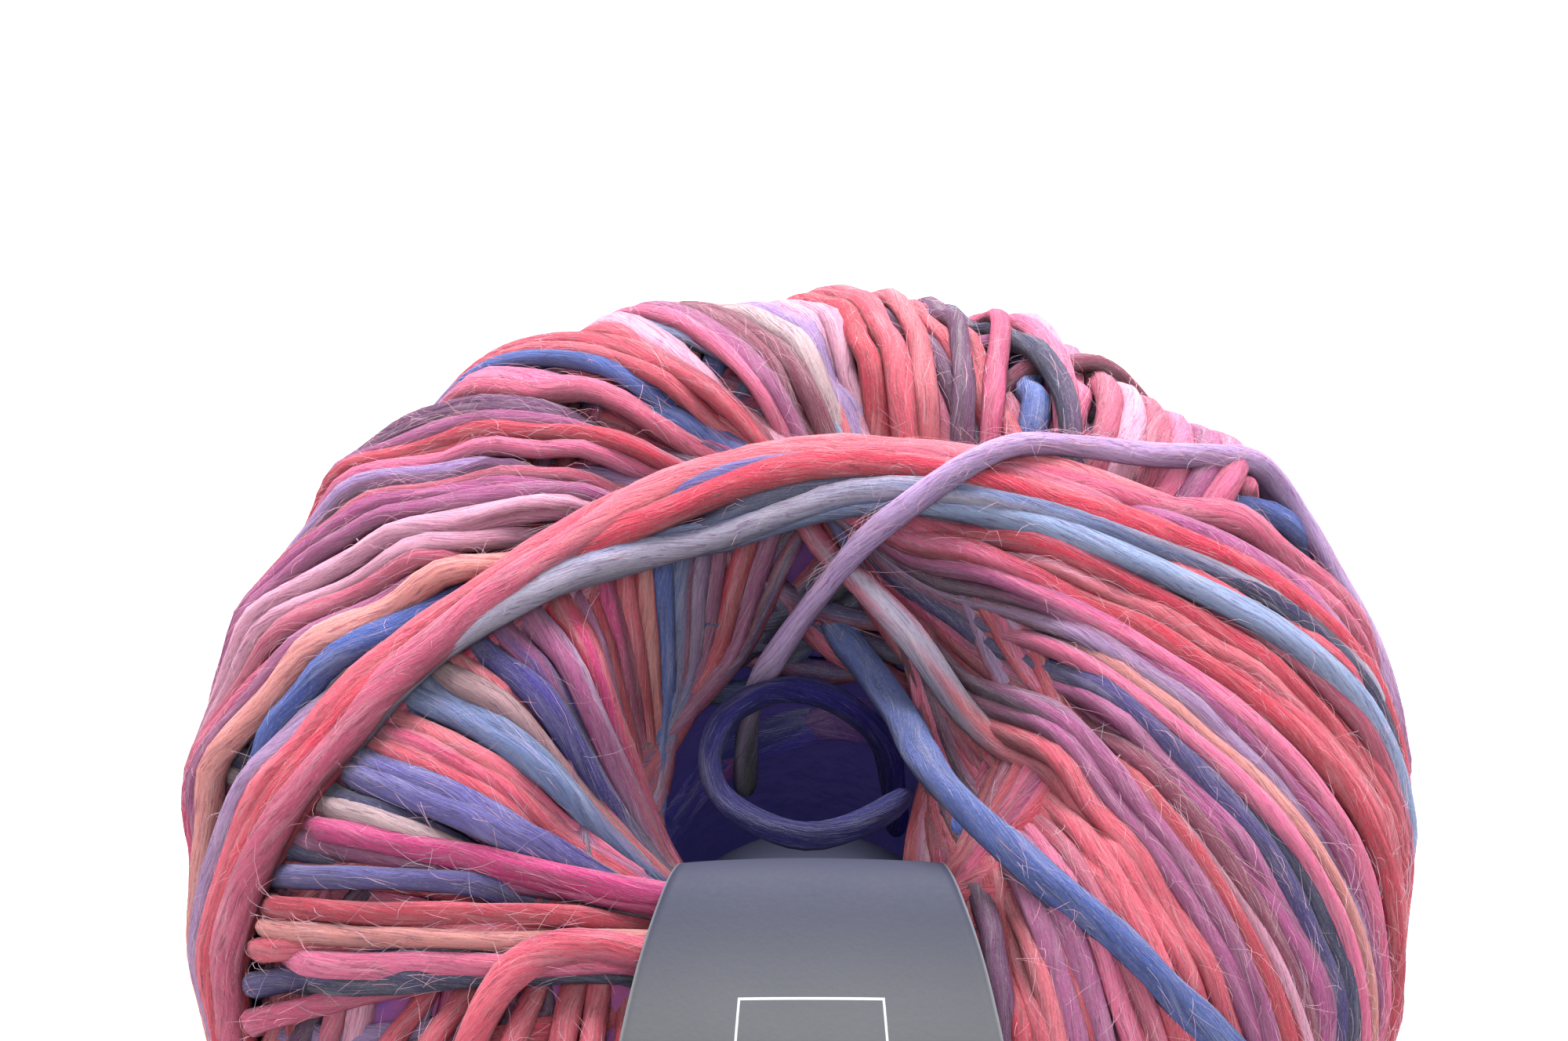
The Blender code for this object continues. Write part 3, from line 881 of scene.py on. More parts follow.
# ---------------------------------------------------------------- materials
class Number:
    """A node's output. Arithmetic on it adds Math nodes."""

    def __init__(self, shader, socket):
        self.shader, self.socket = shader, socket

    def __add__(self, other):
        return self.shader.maths("ADD", self, other)

    def __sub__(self, other):
        return self.shader.maths("SUBTRACT", self, other)

    def __rsub__(self, other):
        return self.shader.maths("SUBTRACT", other, self)

    def __mul__(self, other):
        return self.shader.maths("MULTIPLY", self, other)

    __radd__, __rmul__ = __add__, __mul__


class Shader:
    """A material and the one method that adds a node to it."""

    def __init__(self, name, **constants):
        self.material = bpy.data.materials.new(name)
        self.material.use_nodes = True
        self.tree = self.material.node_tree
        self.surface = self.tree.nodes["Principled BSDF"]
        for socket, value in constants.items():
            self.surface.inputs[socket.replace("_", " ")].default_value = value

    def node(self, kind, settings=None, values=None, output=0):
        node = self.tree.nodes.new("ShaderNode" + kind)
        for name, value in (settings or {}).items():
            setattr(node, name, value)
        for name, value in (values or {}).items():
            if isinstance(value, Number):
                self.tree.links.new(value.socket, node.inputs[name])
            else:
                node.inputs[name].default_value = value
        return Number(self, node.outputs[output])

    def maths(self, operation, *values):
        return self.node("Math", {"operation": operation}, dict(enumerate(values)))

    def feed(self, socket, value):
        self.tree.links.new(value.socket, self.surface.inputs[socket])

    def feed_bump(self, height, distance, strength=1.0):
        values = {"Strength": strength, "Distance": distance, "Height": height}
        self.feed("Normal", self.node("Bump", None, values))

    def object_place(self):
        return self.node("TexCoord", output=3)

    def across_and_along(self, uv_map):
        """The two numbers of a UV map."""
        uv = self.node("UVMap", {"uv_map": uv_map})
        return [self.node("SeparateXYZ", None, {0: uv}, output=k) for k in range(2)]

    def noise(self, vector, scale, detail=2.0, roughness=0.5):
        values = {"Vector": vector, "Scale": scale, "Detail": detail, "Roughness": roughness}
        return self.node("TexNoise", None, values)

    def share(self, value, low, high):
        """0 at low, 1 at high and smooth between."""
        settings = {"interpolation_type": "SMOOTHSTEP"}
        return self.node("MapRange", settings, {"Value": value, "From Min": low, "From Max": high})

    def mix(self, amount, first, second, blend="MIX"):
        settings = {"data_type": "RGBA", "blend_type": blend}
        return self.node("Mix", settings, {0: amount, 6: first, 7: second}, output=2)

    def attribute(self, name, output=0):
        return self.node("Attribute", {"attribute_name": name}, output=output)

    def vector(self, x, y, z):
        return self.node("CombineXYZ", None, {0: x, 1: y, 2: z})


def yarn_material(name, sheen, gloss_and_painted_glint=0.0, paleness=0.42, painted_glow=0.0):
    """Brushed, slightly twisted yarn: fibre streaks, soft clumps, pores in painted shade and pale
    hairs, with painted glints and a painted glow where asked.
    """
    gloss = 0.12 + gloss_and_painted_glint
    shader = Shader(name, Sheen_Weight=sheen, Sheen_Roughness=0.5, Specular_IOR_Level=gloss)
    around, along = shader.across_and_along("strand")
    seed = shader.attribute("seed", output=2)
    waver = shader.noise(shader.vector(along * 0.9, seed, 0.0), 1.0, 1.0)
    turn = (around + along * 0.11 + waver * 0.30) * (2 * math.pi)
    x, y = shader.maths("COSINE", turn), shader.maths("SINE", turn)
    clumps = shader.noise(shader.vector(x, y, along * 0.8 + seed), 1.5, 2.0)
    streaks = shader.noise(shader.vector(x, y, along * 0.34 + seed), 5.0, 4.0, 0.65)
    hairs = shader.noise(shader.vector(x, y, along * 0.16 + seed * 1.7), 15.0, 2.0, 0.6)
    pores = shader.noise(shader.vector(x, y, along * 0.9 + seed * 0.6), 4.6, 3.0, 0.6)
    fluff = shader.noise(shader.vector(x, y, along * 1.5 + seed * 0.8), 11.0, 4.0, 0.7)
    # The dye colours, with the painted shade of the tube's rings in them.
    base = shader.attribute("dye")
    # A darker copy of the dye: the darker streaks and fluff use it as the yarn's uneven tone, the
    # pores as painted shade between fibre clumps.
    deep = shader.mix(1.0, base, DEEP_WOOL, "MULTIPLY")
    pale = shader.mix(paleness, base, PALE_WOOL)
    colour = shader.mix(shader.share(clumps, 0.48, 0.74) * 0.30, base, pale)
    colour = shader.mix(shader.share(streaks, 0.53, 0.33) * 0.66, colour, deep)
    colour = shader.mix(shader.share(pores, 0.58, 0.68) * 0.80, colour, deep)
    colour = shader.mix(shader.share(fluff, 0.48, 0.34) * 0.34, colour, deep)
    # Painted glints: the gloss share also turns more hairs pale, in the base colour.
    colour = shader.mix(shader.share(hairs, 0.58, 0.70) * (0.50 + gloss_and_painted_glint), colour, pale)
    colour = shader.mix(shader.share(fluff, 0.56, 0.70) * 0.40, colour, pale)
    shader.feed("Base Color", colour)
    if painted_glow:
        # Painted light: the wool glows faintly blue, standing in for light that comes through it
        shader.surface.inputs["Emission Strength"].default_value = painted_glow
        shader.feed("Emission Color", shader.mix(0.7, colour, PAINTED_GLOW_TINT))
    shader.feed("Roughness", (0.80 - gloss_and_painted_glint) + streaks * 0.2)
    shader.feed_bump(streaks * 0.8 + clumps * 1.1 + hairs * 0.5 + fluff * 0.7, 0.0009)
    return shader.material


def fuzz_material():
    """Single fibres, in a paler tone of the strand that they come from."""
    shader = Shader("yarn_fuzz", Sheen_Weight=0.3, Specular_IOR_Level=0.3)
    speckle = shader.noise(shader.object_place(), 420.0, 2.0)
    base = shader.attribute("dye")
    shader.feed("Base Color", shader.mix(0.30 + speckle * 0.3, base, PALE_WOOL))
    shader.feed("Roughness", 0.55 + speckle * 0.3)
    return shader.material


def core_material():
    """Yarn deep in the cake, painted dark wine and violet as the shade between the turns, a darker
    navy painted shade on the wall of the hole, and a faint painted blue glow.
    """
    shader = Shader("yarn_depths", Specular_IOR_Level=0.1, Emission_Strength=0.12)
    place = shader.object_place()
    broad = shader.noise(place, 60.0, 3.0)
    fine = shader.noise(place, 500.0, 4.0)
    # Dark wine and violet: the yarn under the turns, painted dark as the shade between them
    wine, violet, lighter = (0.24, 0.05, 0.11, 1), (0.12, 0.05, 0.20, 1), (0.30, 0.08, 0.15, 1)
    colour = shader.mix(shader.share(broad, 0.40, 0.60), wine, violet)
    colour = shader.mix(fine * 0.5, colour, lighter)
    sides = [shader.node("SeparateXYZ", None, {0: place}, output=k) for k in range(2)]
    flat = {0: shader.vector(*sides, 0.0)}
    radius = shader.node("VectorMath", {"operation": "LENGTH"}, flat, output=1)
    # Painted shade: darker navy on the wall of the hole
    colour = shader.mix(shader.share(radius, 0.0200, 0.0172), colour, (0.05, 0.03, 0.13, 1))
    shader.feed("Base Color", colour)
    # Painted light: the core glows faintly blue, standing in for light that comes through the wool
    shader.feed("Emission Color", shader.mix(fine, (0.05, 0.05, 0.26, 1), (0.11, 0.09, 0.42, 1)))
    shader.feed("Roughness", 0.85 + fine * 0.1)
    shader.feed_bump(fine, 0.001, 0.8)
    return shader.material


def paper_material(settings):
    """Dark uncoated paper with fine fibres, rubbed edges, painted shade towards the hole and a thin
    pale square, left empty.
    """
    shader = Shader("grey_paper_finish", Specular_IOR_Level=0.2)
    across, along = shader.across_and_along("paper")
    place = shader.object_place()
    grain = shader.noise(place, 1600.0, 4.0, 0.65)
    mottle = shader.noise(place, 90.0, 3.0)
    dark = (*settings.paper_colour, 1.0)
    lighter = tuple(c * 1.5 for c in settings.paper_colour) + (1.0,)
    colour = shader.mix(mottle * 0.4 + grain * 0.25, dark, lighter)
    # Painted shade: the band turns darker and bluer towards the hole, where it goes in
    colour = shader.mix(shader.share(along, 66.0, 48.0) * 0.90, colour, PAPER_IN_SHADE)
    from_edge = 0.5 - shader.maths("ABSOLUTE", across - 0.5)
    worn = shader.share(from_edge + mottle * 0.006, 0.0135, 0.004)
    colour = shader.mix(worn * 0.45, colour, WORN_PAPER)
    half = settings.square_size / 2 / MM
    off = shader.maths("ABSOLUTE", along - settings.square_place / MM)
    sideways = shader.maths("ABSOLUTE", (across - 0.5) * BAND_WIDTH)
    edge = shader.maths("MAXIMUM", off, sideways)
    line = shader.share(shader.maths("ABSOLUTE", edge - half), 0.17, 0.10)
    shader.feed("Base Color", shader.mix(line * 0.85, colour, PALE_LINE))
    shader.feed("Roughness", 0.58 + grain * 0.12 + mottle * 0.08)
    shader.feed_bump(grain * 0.4 + mottle * 0.6, 0.0003, 0.25)
    return shader.material


def floor_material():
    shader = Shader("pale_floor", Specular_IOR_Level=0.1)
    drift = shader.noise(shader.object_place(), 3.0, 2.0)
    shader.feed("Base Color", shader.mix(drift * 0.3, (0.95, 0.95, 0.95, 1), (0.92, 0.92, 0.92, 1)))
    shader.feed("Roughness", 0.85 + drift * 0.05)
    return shader.material


# ---------------------------------------------------------------- what a user may change
class CakeSettings(bpy.types.PropertyGroup):
    strand_width: bpy.props.FloatProperty(
        name="Strand width", description="Width of one strand of yarn",
        default=2 * HALF_WIDTH * MM, min=0.001, max=0.006, subtype="DISTANCE", unit="LENGTH",
    )
    hidden_turns: bpy.props.IntProperty(
        name="Lower turns", description="Turns wound under the ones that show most",
        default=HIDDEN_TURNS, min=0, max=120,
    )
    fuzz_fibres: bpy.props.IntProperty(
        name="Fuzz fibres", description="Loose fibres that stand off the yarn",
        default=FUZZ_FIBRES, min=0, max=19900,
    )
    fibre_width: bpy.props.FloatProperty(
        name="Fibre width", description="Width of one loose fibre",
        default=FIBRE_WIDTH, min=0.00002, max=0.0003, subtype="DISTANCE", unit="LENGTH",
    )


class BandSettings(bpy.types.PropertyGroup):
    paper_thickness: bpy.props.FloatProperty(
        name="Paper thickness", description="Thickness of the band's paper",
        default=0.0003, min=0.0001, max=0.001, subtype="DISTANCE", unit="LENGTH",
    )
    paper_colour: bpy.props.FloatVectorProperty(
        name="Paper colour", description="Colour of the band, linear",
        default=PAPER, size=3, min=0.0, max=1.0, subtype="COLOR",
    )
    square_size: bpy.props.FloatProperty(
        name="Square", description="Side of the empty square on the band",
        default=0.0165, min=0.005, max=0.03, subtype="DISTANCE", unit="LENGTH",
    )
    square_place: bpy.props.FloatProperty(
        name="Square's place", description="How far along the band from the hole's middle",
        default=0.0695, min=0.03, max=0.2, subtype="DISTANCE", unit="LENGTH",
    )


class StudioSettings(bpy.types.PropertyGroup):
    key_power: bpy.props.FloatProperty(
        name="Soft box", description="Power of the large soft box",
        default=38.0, min=0.0, max=60.0, unit="POWER",
    )
    sky_strength: bpy.props.FloatProperty(
        name="Surround", description="Brightness of the white surround",
        default=0.80, min=0.0, max=5.0,
    )


# ---------------------------------------------------------------- operators
class YARN_OT_core(bpy.types.Operator):
    """Make the inside of the cake, painted dark as the shade which shows between the turns"""

    bl_idname = "yarn.core"
    bl_label = "Core"

    def execute(self, context):
        crest = math.atan2(*CORE_CREST)
        profile = list(CORE_WALL)
        for polar in np.linspace(crest, math.pi - crest, 30):
            reach = float(reach_of_section(polar)) - CORE_INSET
            profile.append((reach * math.sin(polar), MIDDLE[2] + reach * math.cos(polar)))
        shape = bmesh.new()
        corners = [shape.verts.new((r * MM, 0.0, max(z, CORE_LOWEST) * MM)) for r, z in profile]
        edges = [shape.edges.new((a, b)) for a, b in zip(corners, corners[1:] + corners[:1])]
        bmesh.ops.spin(
            shape, geom=corners + edges, cent=(0, 0, 0), axis=(0, 0, 1), dvec=(0, 0, 0),
            angle=2 * math.pi, steps=96, use_merge=True, use_duplicate=False,
        )
        bmesh.ops.remove_doubles(shape, verts=shape.verts, dist=1e-6)
        bmesh.ops.recalc_face_normals(shape, faces=shape.faces)
        for vertex in shape.verts:
            direction = np.array(vertex.co / MM) - MIDDLE
            direction /= np.linalg.norm(direction)
            away = smooth((math.hypot(vertex.co.x, vertex.co.y) / MM - 26) / 8)
            low = smooth((vertex.co.z / MM - 4) / 10)
            lift = surface_lift(direction[None, :])[0] * away * low
            vertex.co += Vector(direction) * float(lift * MM)
        mesh = bpy.data.meshes.new("cake_core")
        shape.to_mesh(mesh)
        shape.free()
        mesh.shade_smooth()
        add_piece("cake_core", mesh, core_material(), ["wound_cake"])
        return {"FINISHED"}


class YARN_OT_turns(bpy.types.Operator):
    """Wind the turns of yarn, the top ones first, each next one under those that it meets"""

    bl_idname = "yarn.turns"
    bl_label = "Turns of yarn"

    def execute(self, context):
        settings = context.scene.cake_settings
        half_width = settings.strand_width / 2 / MM
        generator = np.random.default_rng(71)
        surface, stack = Surface(), Stack()
        names = (
            "slack_strands", "arch_turns", "upper_turns", "fan_turns", "shoulder_turns",
            "rim_turns", "lower_turns",
        )
        groups = {name: [] for name in names}
        for strand in SLACK_STRANDS:
            groups["slack_strands"].append(slack_route(surface, *strand))
        for foot, distance, right_bend, left_bend, right, middle, left, width in ARCH_TURNS:
            bends, dyes = (right_bend, left_bend), (right, middle, left)
            route = turn_route(surface, generator, foot, distance, bends, dyes, width)
            groups["arch_turns"].append(route)
        for foot, distance, right, middle, left in TURNS:
            least, most = next(widths for limit, widths in TURN_WIDTHS if foot < limit)
            width = generator.uniform(least, most)
            sag = SHALLOW_SAG if foot < 120 else USUAL_SAG
            dyes = (right, middle, left)
            route = turn_route(surface, generator, foot, distance, (0, 0), dyes, width, sag)
            groups["fan_turns" if foot > 135 else "upper_turns"].append(route)
        for foot, distance, by_hole, far in SHOULDER_TURNS:
            foot, dyes = foot % 360, (by_hole, by_hole, far)
            route = turn_route(surface, generator, foot, distance, (0, 0), dyes, 1.25, SHALLOW_SAG)
            groups["shoulder_turns"].append(route)
        for foot, distance in RIM_TURNS:
            dyes = [RIM_DYES[k] for k in generator.integers(0, len(RIM_DYES), 3)]
            route = turn_route(surface, generator, foot, distance, (0, 0), dyes, 1.15, RIM_SAG)
            groups["rim_turns"].append(route)
        for index in range(settings.hidden_turns):
            foot = 360.0 * index * GOLDEN_TURN + generator.uniform(-3, 3)
            distance = generator.uniform(23.0, 34.0)
            dyes = [HIDDEN_DYES[k] for k in generator.integers(0, len(HIDDEN_DYES), 3)]
            width = generator.uniform(1.1, 1.4)
            route = turn_route(surface, generator, foot % 360, distance, (0, 0), dyes, width)
            groups["lower_turns"].append(route)
        order = [(name, route) for name, group in groups.items() for route in group if route.closed]
        for place, (name, route) in enumerate(order):
            most = SHALLOWEST_CAP + (DEEPEST_CAP - SHALLOWEST_CAP) * place / len(order)
            stack.tuck_under(route, LEAST_DEPTHS.get(name, 0.0), most)
        for route in [route for group in groups.values() for route in group]:
            if route.closed:
                stack.press_in(route)
        material = yarn_material("rose_yarn_finish", 0.26)
        for name, routes in groups.items():
            taper = 5.0 if name == "slack_strands" else 0.0
            sides = FEWER_SIDES if name in ("lower_turns", "rim_turns") else SIDES
            bundles = [
                rings_of(route, generator, sides, half_width, HALF_THICKNESS, taper)
                for route in routes
            ]
            mesh = strands_mesh(name, bundles, generator)
            add_piece(name, mesh, material, ["wound_cake"])
        ROUTES.extend(route for group in groups.values() for route in group)
        return {"FINISHED"}


class YARN_OT_hole_turns(bpy.types.Operator):
    """Lay the oldest strands, which show on the wall of the hole"""

    bl_idname = "yarn.hole_turns"
    bl_label = "Strands in the hole"

    def execute(self, context):
        generator = np.random.default_rng(23)
        routes = []
        for index in range(WALL_STRANDS):
            angle = math.radians(360 * index * GOLDEN_TURN + generator.uniform(-8, 8))
            height = 12 + 49 * ((index * GOLDEN_STEP) % 1)
            slope = -math.radians(generator.uniform(12, 42))
            radius = 15.7 + generator.uniform(0.0, 1.5)
            foot = np.array((radius * math.cos(angle), radius * math.sin(angle), height))
            level = math.cos(slope)
            along = np.array((-math.sin(angle) * level, math.cos(angle) * level, math.sin(slope)))
            points = foot + np.linspace(-16, 16, 15)[:, None] * along
            outward = unit(np.column_stack((-points[:, :2], np.zeros(len(points)))))
            near_rim = height > 57
            dyes = RIM_DYES if near_rim else WALL_DYES
            shade = dye(dyes[index % len(dyes)])
            colours = np.repeat(shade[None, :], len(points), axis=0)
            routes.append(Route(points, outward, colours, generator.uniform(0.9, 1.25), False))
        bundles = [rings_of(route, generator, SIDES, 1.75, 1.4, 3.0) for route in routes]
        mesh = strands_mesh("hole_turns", bundles, generator)
        # Painted light: the strands on the wall of the hole glow faintly blue
        material = yarn_material("hole_yarn_finish", 0.2, painted_glow=0.14)
        add_piece("hole_turns", mesh, material, ["wound_cake"])
        return {"FINISHED"}


class YARN_OT_loose_ends(bpy.types.Operator):
    """Lay the lilac end over the top and the violet one looped in the hole"""

    bl_idname = "yarn.loose_ends"
    bl_label = "Loose ends"

    def execute(self, context):
        generator = np.random.default_rng(5)
        ends = (
            ("outer_tail_yarn", OUTER_TAIL_ROUTE, "outer_tail", "lilac_yarn", "object",
             ("mauve", *["pale_lilac"] * 10, "indigo", "navy"), 1.28, (0.3, 0.0, 0.42), 1.9),
            # The violet end's finish paints pale glints into its hairs and gives it a faint painted
            # glow
            ("inner_tail_yarn", INNER_TAIL_ROUTE, "inner_tail", "violet_yarn", "bare",
             ("violet", "deep_violet", "deep_violet"), 1.36, (0.0, 0.30, 0.16, 0.03), 0.0),
        )
        for name, places, node, slot, far_end, dyes, half, finish, inset in ends:
            points = even_points(catmull_rom(places, 12), TAIL_RING_SPACING)
            outward = unit(points - MIDDLE)
            share = np.linspace(0, 1, len(points))
            # The part that lies on the turns is drawn a little further in
            inwards = outward * (inset * smooth((0.58 - share) / 0.14))[:, None]
            drawn = Route(points - inwards, outward, dyes_along(dyes, share), 1.0, False)
            rings = rings_of(drawn, generator, TAIL_SIDES, half, half, 2.2)
            mesh = strands_mesh(name, [rings], generator)
            material = yarn_material(node + "_finish", *finish)
            piece = add_piece(name, mesh, material, [node])
            if inset:
                LOOSE_ROUTES.append(drawn)
        return {"FINISHED"}


class YARN_OT_fuzz(bpy.types.Operator):
    """Stand fine fibres off the yarn"""

    bl_idname = "yarn.fuzz"
    bl_label = "Fuzz"

    def execute(self, context):
        settings = context.scene.cake_settings
        generator = np.random.default_rng(12)
        roots, tangents, outwards, dyes = [], [], [], []
        for route, times in [(r, 1) for r in ROUTES] + [(r, 3) for r in LOOSE_ROUTES]:
            x, y, z = route.points.T
            radius = from_axis(route.points)
            in_hole = (radius < 15.5) & (z < 78)
            on_band = (np.abs(x - BAND_SIDEWAYS) < strip_half_width(radius) + 2.5) & (y < -4)
            shown = np.nonzero((route.depth < 2.6) & ~in_hole & ~on_band)[0]
            for _ in range(times):
                roots.append(route.points[shown])
                tangents.append(route.tangents()[shown])
                outwards.append(route.outward[shown])
                dyes.append(route.colours[shown])
        roots, tangents = np.concatenate(roots), np.concatenate(tangents)
        outwards, dyes = np.concatenate(outwards), np.concatenate(dyes)
        total = settings.fuzz_fibres
        chosen = generator.integers(0, len(roots), total)
        tangent, shade = tangents[chosen], dyes[chosen]
        outward = square_to(tangent, outwards[chosen])
        across = np.cross(tangent, outward)
        lean = generator.uniform(-1.25, 1.25, total)
        on_strand = across * np.sin(lean)[:, None] * 1.5 + outward * np.cos(lean)[:, None] * 1.15
        start = roots[chosen] + on_strand
        start -= tangent * generator.uniform(-1.5, 1.5, total)[:, None]
        heading = generator.normal(0, 0.5, total)
        sign = generator.choice((-1.0, 1.0), total)
        way = tangent * (np.cos(heading) * sign)[:, None] + across * np.sin(heading)[:, None]
        short = generator.random(total) < 0.5
        short_length = generator.uniform(*SHORT_FIBRES, total)
        long_length = generator.uniform(*LONG_FIBRES, total)
        length = np.where(short, short_length, long_length)
        lift = np.where(short, generator.gamma(2.0, 0.22, total), generator.gamma(2.0, 0.08, total))
        curl = generator.normal(0, 0.28, total)
        side = np.cross(way, outward)
        raised = np.sin(FIBRE_POINTS * 2.6)[None, :] * (lift * length * 0.55)[:, None]
        curled = (FIBRE_POINTS**2)[None, :] * (curl * length)[:, None]
        points = (
            start[:, None, :]
            + way[:, None, :] * FIBRE_POINTS[None, :, None] * length[:, None, None]
            + outward[:, None, :] * raised[:, :, None]
            + side[:, None, :] * curled[:, :, None]
        )
        points[:, :, 2] = np.maximum(points[:, :, 2], 0.2)
        points = np.minimum(points, np.array(CAD_BOX[1]) / MM + MOST_PAST_CAD)
        for part, name in enumerate(("fuzz_near", "fuzz_far")):
            some = slice(part * total // 2, (part + 1) * total // 2)
            mesh = fibres_mesh(name, points[some] * MM, shade[some], settings.fibre_width)
            add_piece(name, mesh, fuzz_material(), ["wound_cake"])
        return {"FINISHED"}


def fibres_mesh(name, fibres, shades, width):
    """Closed, three-sided fibres, swept by a curve's bevel and made a mesh."""
    curve = bpy.data.curves.new(name, "CURVE")
    curve.dimensions = "3D"
    profile = bpy.data.curves.new(name + "_profile", "CURVE")
    ring = profile.splines.new("POLY")
    ring.points.add(2)
    ring.use_cyclic_u = True
    for corner, angle in zip(ring.points, np.radians((90, 210, 330))):
        corner.co = (width / 2 * math.cos(angle), width / 2 * math.sin(angle), 0, 1)
    section = bpy.data.objects.new(name + "_profile", profile)
    bpy.context.scene.collection.objects.link(section)
    curve.bevel_mode = "OBJECT"
    curve.bevel_object = section
    curve.use_fill_caps = True
    ones = np.ones((len(FIBRE_RADII), 1))
    for fibre in fibres:
        spline = curve.splines.new("POLY")
        spline.points.add(len(FIBRE_RADII) - 1)
        spline.points.foreach_set("co", np.hstack((fibre, ones)).ravel())
        spline.points.foreach_set("radius", FIBRE_RADII)
    guide = bpy.data.objects.new(name + "_guide", curve)
    bpy.context.scene.collection.objects.link(guide)
    graph = bpy.context.evaluated_depsgraph_get()
    mesh = bpy.data.meshes.new_from_object(guide.evaluated_get(graph), depsgraph=graph)
    bpy.data.objects.remove(guide)
    bpy.data.objects.remove(section)
    bpy.data.curves.remove(curve)
    bpy.data.curves.remove(profile)
    mesh.name = name
    mesh.materials.clear()
    share = len(mesh.vertices) // len(fibres)
    layer = mesh.attributes.new("dye", "FLOAT_COLOR", "POINT")
    colours = np.repeat(shades, share, axis=0)
    layer.data.foreach_set("color", colours.astype(np.float32).ravel())
    return mesh


class YARN_OT_band(bpy.types.Operator):
    """Fold the paper band through the hole and round the side"""

    bl_idname = "yarn.band"
    bl_label = "Paper band"

    def execute(self, context):
        settings = context.scene.band_settings
        rows = catmull_rom(BAND_ROWS, 8, closed=True)
        rows = np.vstack((rows, rows[:1]))
        count = len(rows) - 1
        ahead = np.roll(rows[:-1], -1, 0) - np.roll(rows[:-1], 1, 0)
        out = unit(np.column_stack((np.zeros(count), ahead[:, 1], ahead[:, 0])))
        out = np.vstack((out, out[:1]))
        lengths = travelled(rows[:, :2])
        generator = np.random.default_rng(3)
        limits = ((0.25, 0.7), (0.02, 0.09), (0, 6.28))
        ripple = [[generator.uniform(*limit) for limit in limits] for _ in range(7)]
        shape = bmesh.new()
        uv = shape.loops.layers.uv.new("paper")
        bmesh.ops.create_grid(shape, x_segments=BAND_FACES_ACROSS, y_segments=count, size=0.5)
        places = {}
        vertices = iter(list(shape.verts))
        for index, (forward, up, half, crown) in enumerate(rows):
            for step in range(BAND_FACES_ACROSS + 1):
                across = 2 * step / BAND_FACES_ACROSS - 1
                wave = sum(
                    math.sin(turns * half * across + rate * lengths[index % count] + phase)
                    for turns, rate, phase in ripple
                ) / 7
                drop = crown * across * across + 0.12 * wave * (0.3 + across * across)
                place = np.array((BAND_SIDEWAYS + half * across, -forward, up)) - out[index] * drop
                place[2] = max(place[2], 0.35)
                vertex = next(vertices)
                vertex.co = place * MM
                places[vertex] = (step / BAND_FACES_ACROSS, lengths[index])
        for face in shape.faces:
            for corner in face.loops:
                corner[uv].uv = places[corner.vert]
        bmesh.ops.remove_doubles(shape, verts=shape.verts, dist=1e-6)
        bmesh.ops.recalc_face_normals(shape, faces=shape.faces)
        mesh = bpy.data.meshes.new("paper_band_sheet")
        shape.to_mesh(mesh)
        shape.free()
        mesh.shade_smooth()
        finish = paper_material(settings)
        band = add_piece("paper_band_sheet", mesh, finish, ["paper_band"])
        wall = band.modifiers.new("thickness", "SOLIDIFY")
        wall.thickness = settings.paper_thickness
        wall.offset = 0.0
        wall.use_even_offset = True
        return {"FINISHED"}


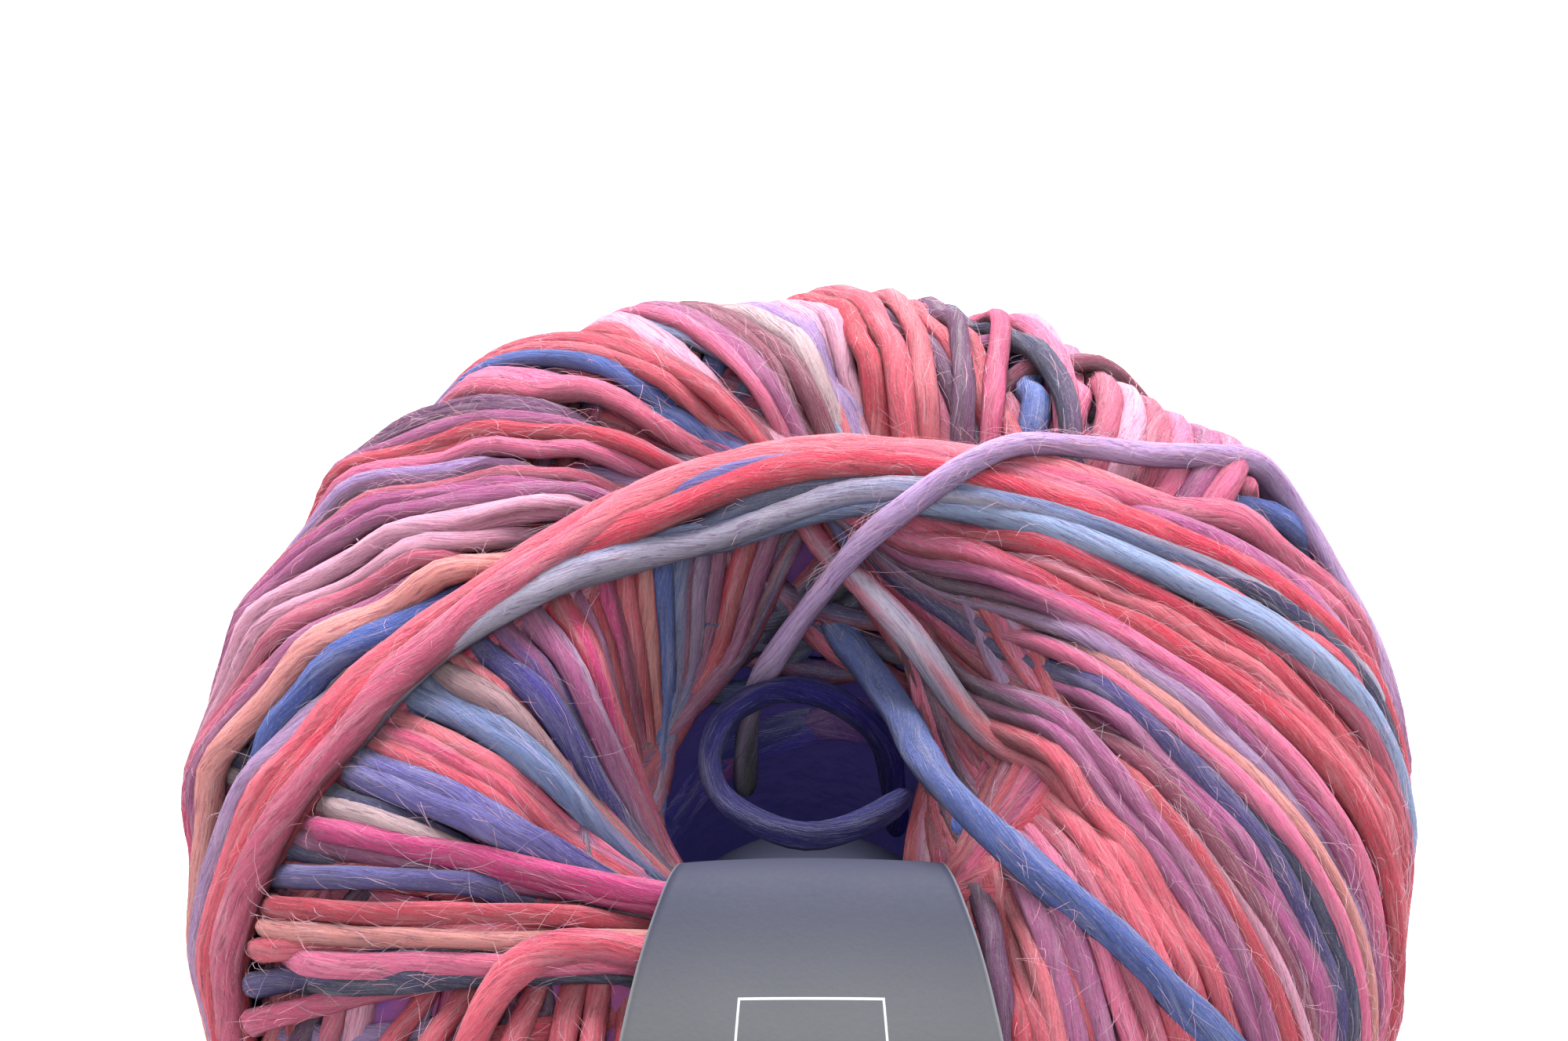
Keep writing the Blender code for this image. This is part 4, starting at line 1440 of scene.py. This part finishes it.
class YARN_OT_studio(bpy.types.Operator):
    """Set the pale floor, the soft light and the camera"""

    bl_idname = "yarn.studio"
    bl_label = "Studio"

    def execute(self, context):
        settings = context.scene.studio_settings
        scene = context.scene
        shape = bmesh.new()
        bmesh.ops.create_circle(shape, cap_ends=True, radius=FLOOR_RADIUS, segments=96)
        mesh = bpy.data.meshes.new("studio_floor")
        shape.to_mesh(mesh)
        shape.free()
        floor = bpy.data.objects.new("studio_floor", mesh)
        scene.collection.objects.link(floor)
        mesh.materials.append(floor_material())

        world = bpy.data.worlds.new("white_surround")
        world.use_nodes = True
        background = world.node_tree.nodes["Background"]
        background.inputs["Color"].default_value = (1.0, 1.0, 1.0, 1.0)
        background.inputs["Strength"].default_value = settings.sky_strength
        scene.world = world
        for name, place, size, power in (
            ("soft_box", (0.06, 0.92, 0.54), 0.9, settings.key_power),
            ("front_fill", (0.0, -0.50, 0.85), 0.7, settings.key_power * 0.13),
        ):
            light = bpy.data.lights.new(name, "AREA")
            light.shape = "DISK"
            light.size = size
            light.energy = power
            lamp = bpy.data.objects.new(name, light)
            scene.collection.objects.link(lamp)
            lamp.location = place
            way = Vector(LIGHT_TARGET) - Vector(place)
            lamp.rotation_euler = way.to_track_quat("-Z", "Y").to_euler()

        scene.view_settings.view_transform = "Standard"
        data = bpy.data.cameras.new("photo_camera")
        data.sensor_width = 36.0
        data.lens = FOCAL_PIXELS / PHOTO_WIDTH * data.sensor_width
        data.clip_start = 0.01
        camera = bpy.data.objects.new("photo_camera", data)
        scene.collection.objects.link(camera)
        back = Vector((0, -math.cos(CAMERA_ELEVATION), math.sin(CAMERA_ELEVATION)))
        raised = math.atan2(MIDDLE_BELOW, FOCAL_PIXELS)
        aim = Euler((math.radians(90) - CAMERA_ELEVATION + raised, 0.0, 0.0)).to_matrix()
        turn = Matrix.Rotation(math.atan2(MIDDLE_RIGHT, FOCAL_PIXELS), 3, "Y")
        place = Vector(CAMERA_TARGET) + back * CAMERA_DISTANCE
        camera.matrix_world = Matrix.Translation(place) @ (aim @ turn).to_4x4()
        scene.camera = camera
        return {"FINISHED"}


class YARN_PT_panel(bpy.types.Panel):
    bl_idname = "YARN_PT_panel"
    bl_label = "Yarn cake"
    bl_space_type = "VIEW_3D"
    bl_region_type = "UI"
    bl_category = "Yarn cake"

    def draw(self, context):
        for settings, group in GROUPS.items():
            for name in group.__annotations__:
                self.layout.prop(getattr(context.scene, settings), name)
        for operator in OPERATORS:
            self.layout.operator(operator.bl_idname)


# Strands laid by the operators, which the fuzz stands on
ROUTES = []
LOOSE_ROUTES = []

OPERATORS = (
    YARN_OT_studio,
    YARN_OT_loose_ends,
    YARN_OT_core,
    YARN_OT_turns,
    YARN_OT_hole_turns,
    YARN_OT_fuzz,
    YARN_OT_band,
)
GROUPS = {
    "cake_settings": CakeSettings,
    "band_settings": BandSettings,
    "studio_settings": StudioSettings,
}


def register():
    for group in GROUPS.values():
        bpy.utils.register_class(group)
    for name, group in GROUPS.items():
        setattr(bpy.types.Scene, name, bpy.props.PointerProperty(type=group))
    for operator in OPERATORS:
        bpy.utils.register_class(operator)
    bpy.utils.register_class(YARN_PT_panel)


def unregister():
    bpy.utils.unregister_class(YARN_PT_panel)
    for operator in reversed(OPERATORS):
        bpy.utils.unregister_class(operator)
    for name in GROUPS:
        delattr(bpy.types.Scene, name)
    for group in reversed(list(GROUPS.values())):
        bpy.utils.unregister_class(group)


def main():
    register()
    bpy.ops.yarn.studio()
    bpy.ops.yarn.loose_ends()
    bpy.ops.yarn.core()
    bpy.ops.yarn.turns()
    bpy.ops.yarn.hole_turns()
    bpy.ops.yarn.fuzz()
    bpy.ops.yarn.band()


if __name__ == "__main__":
    main()
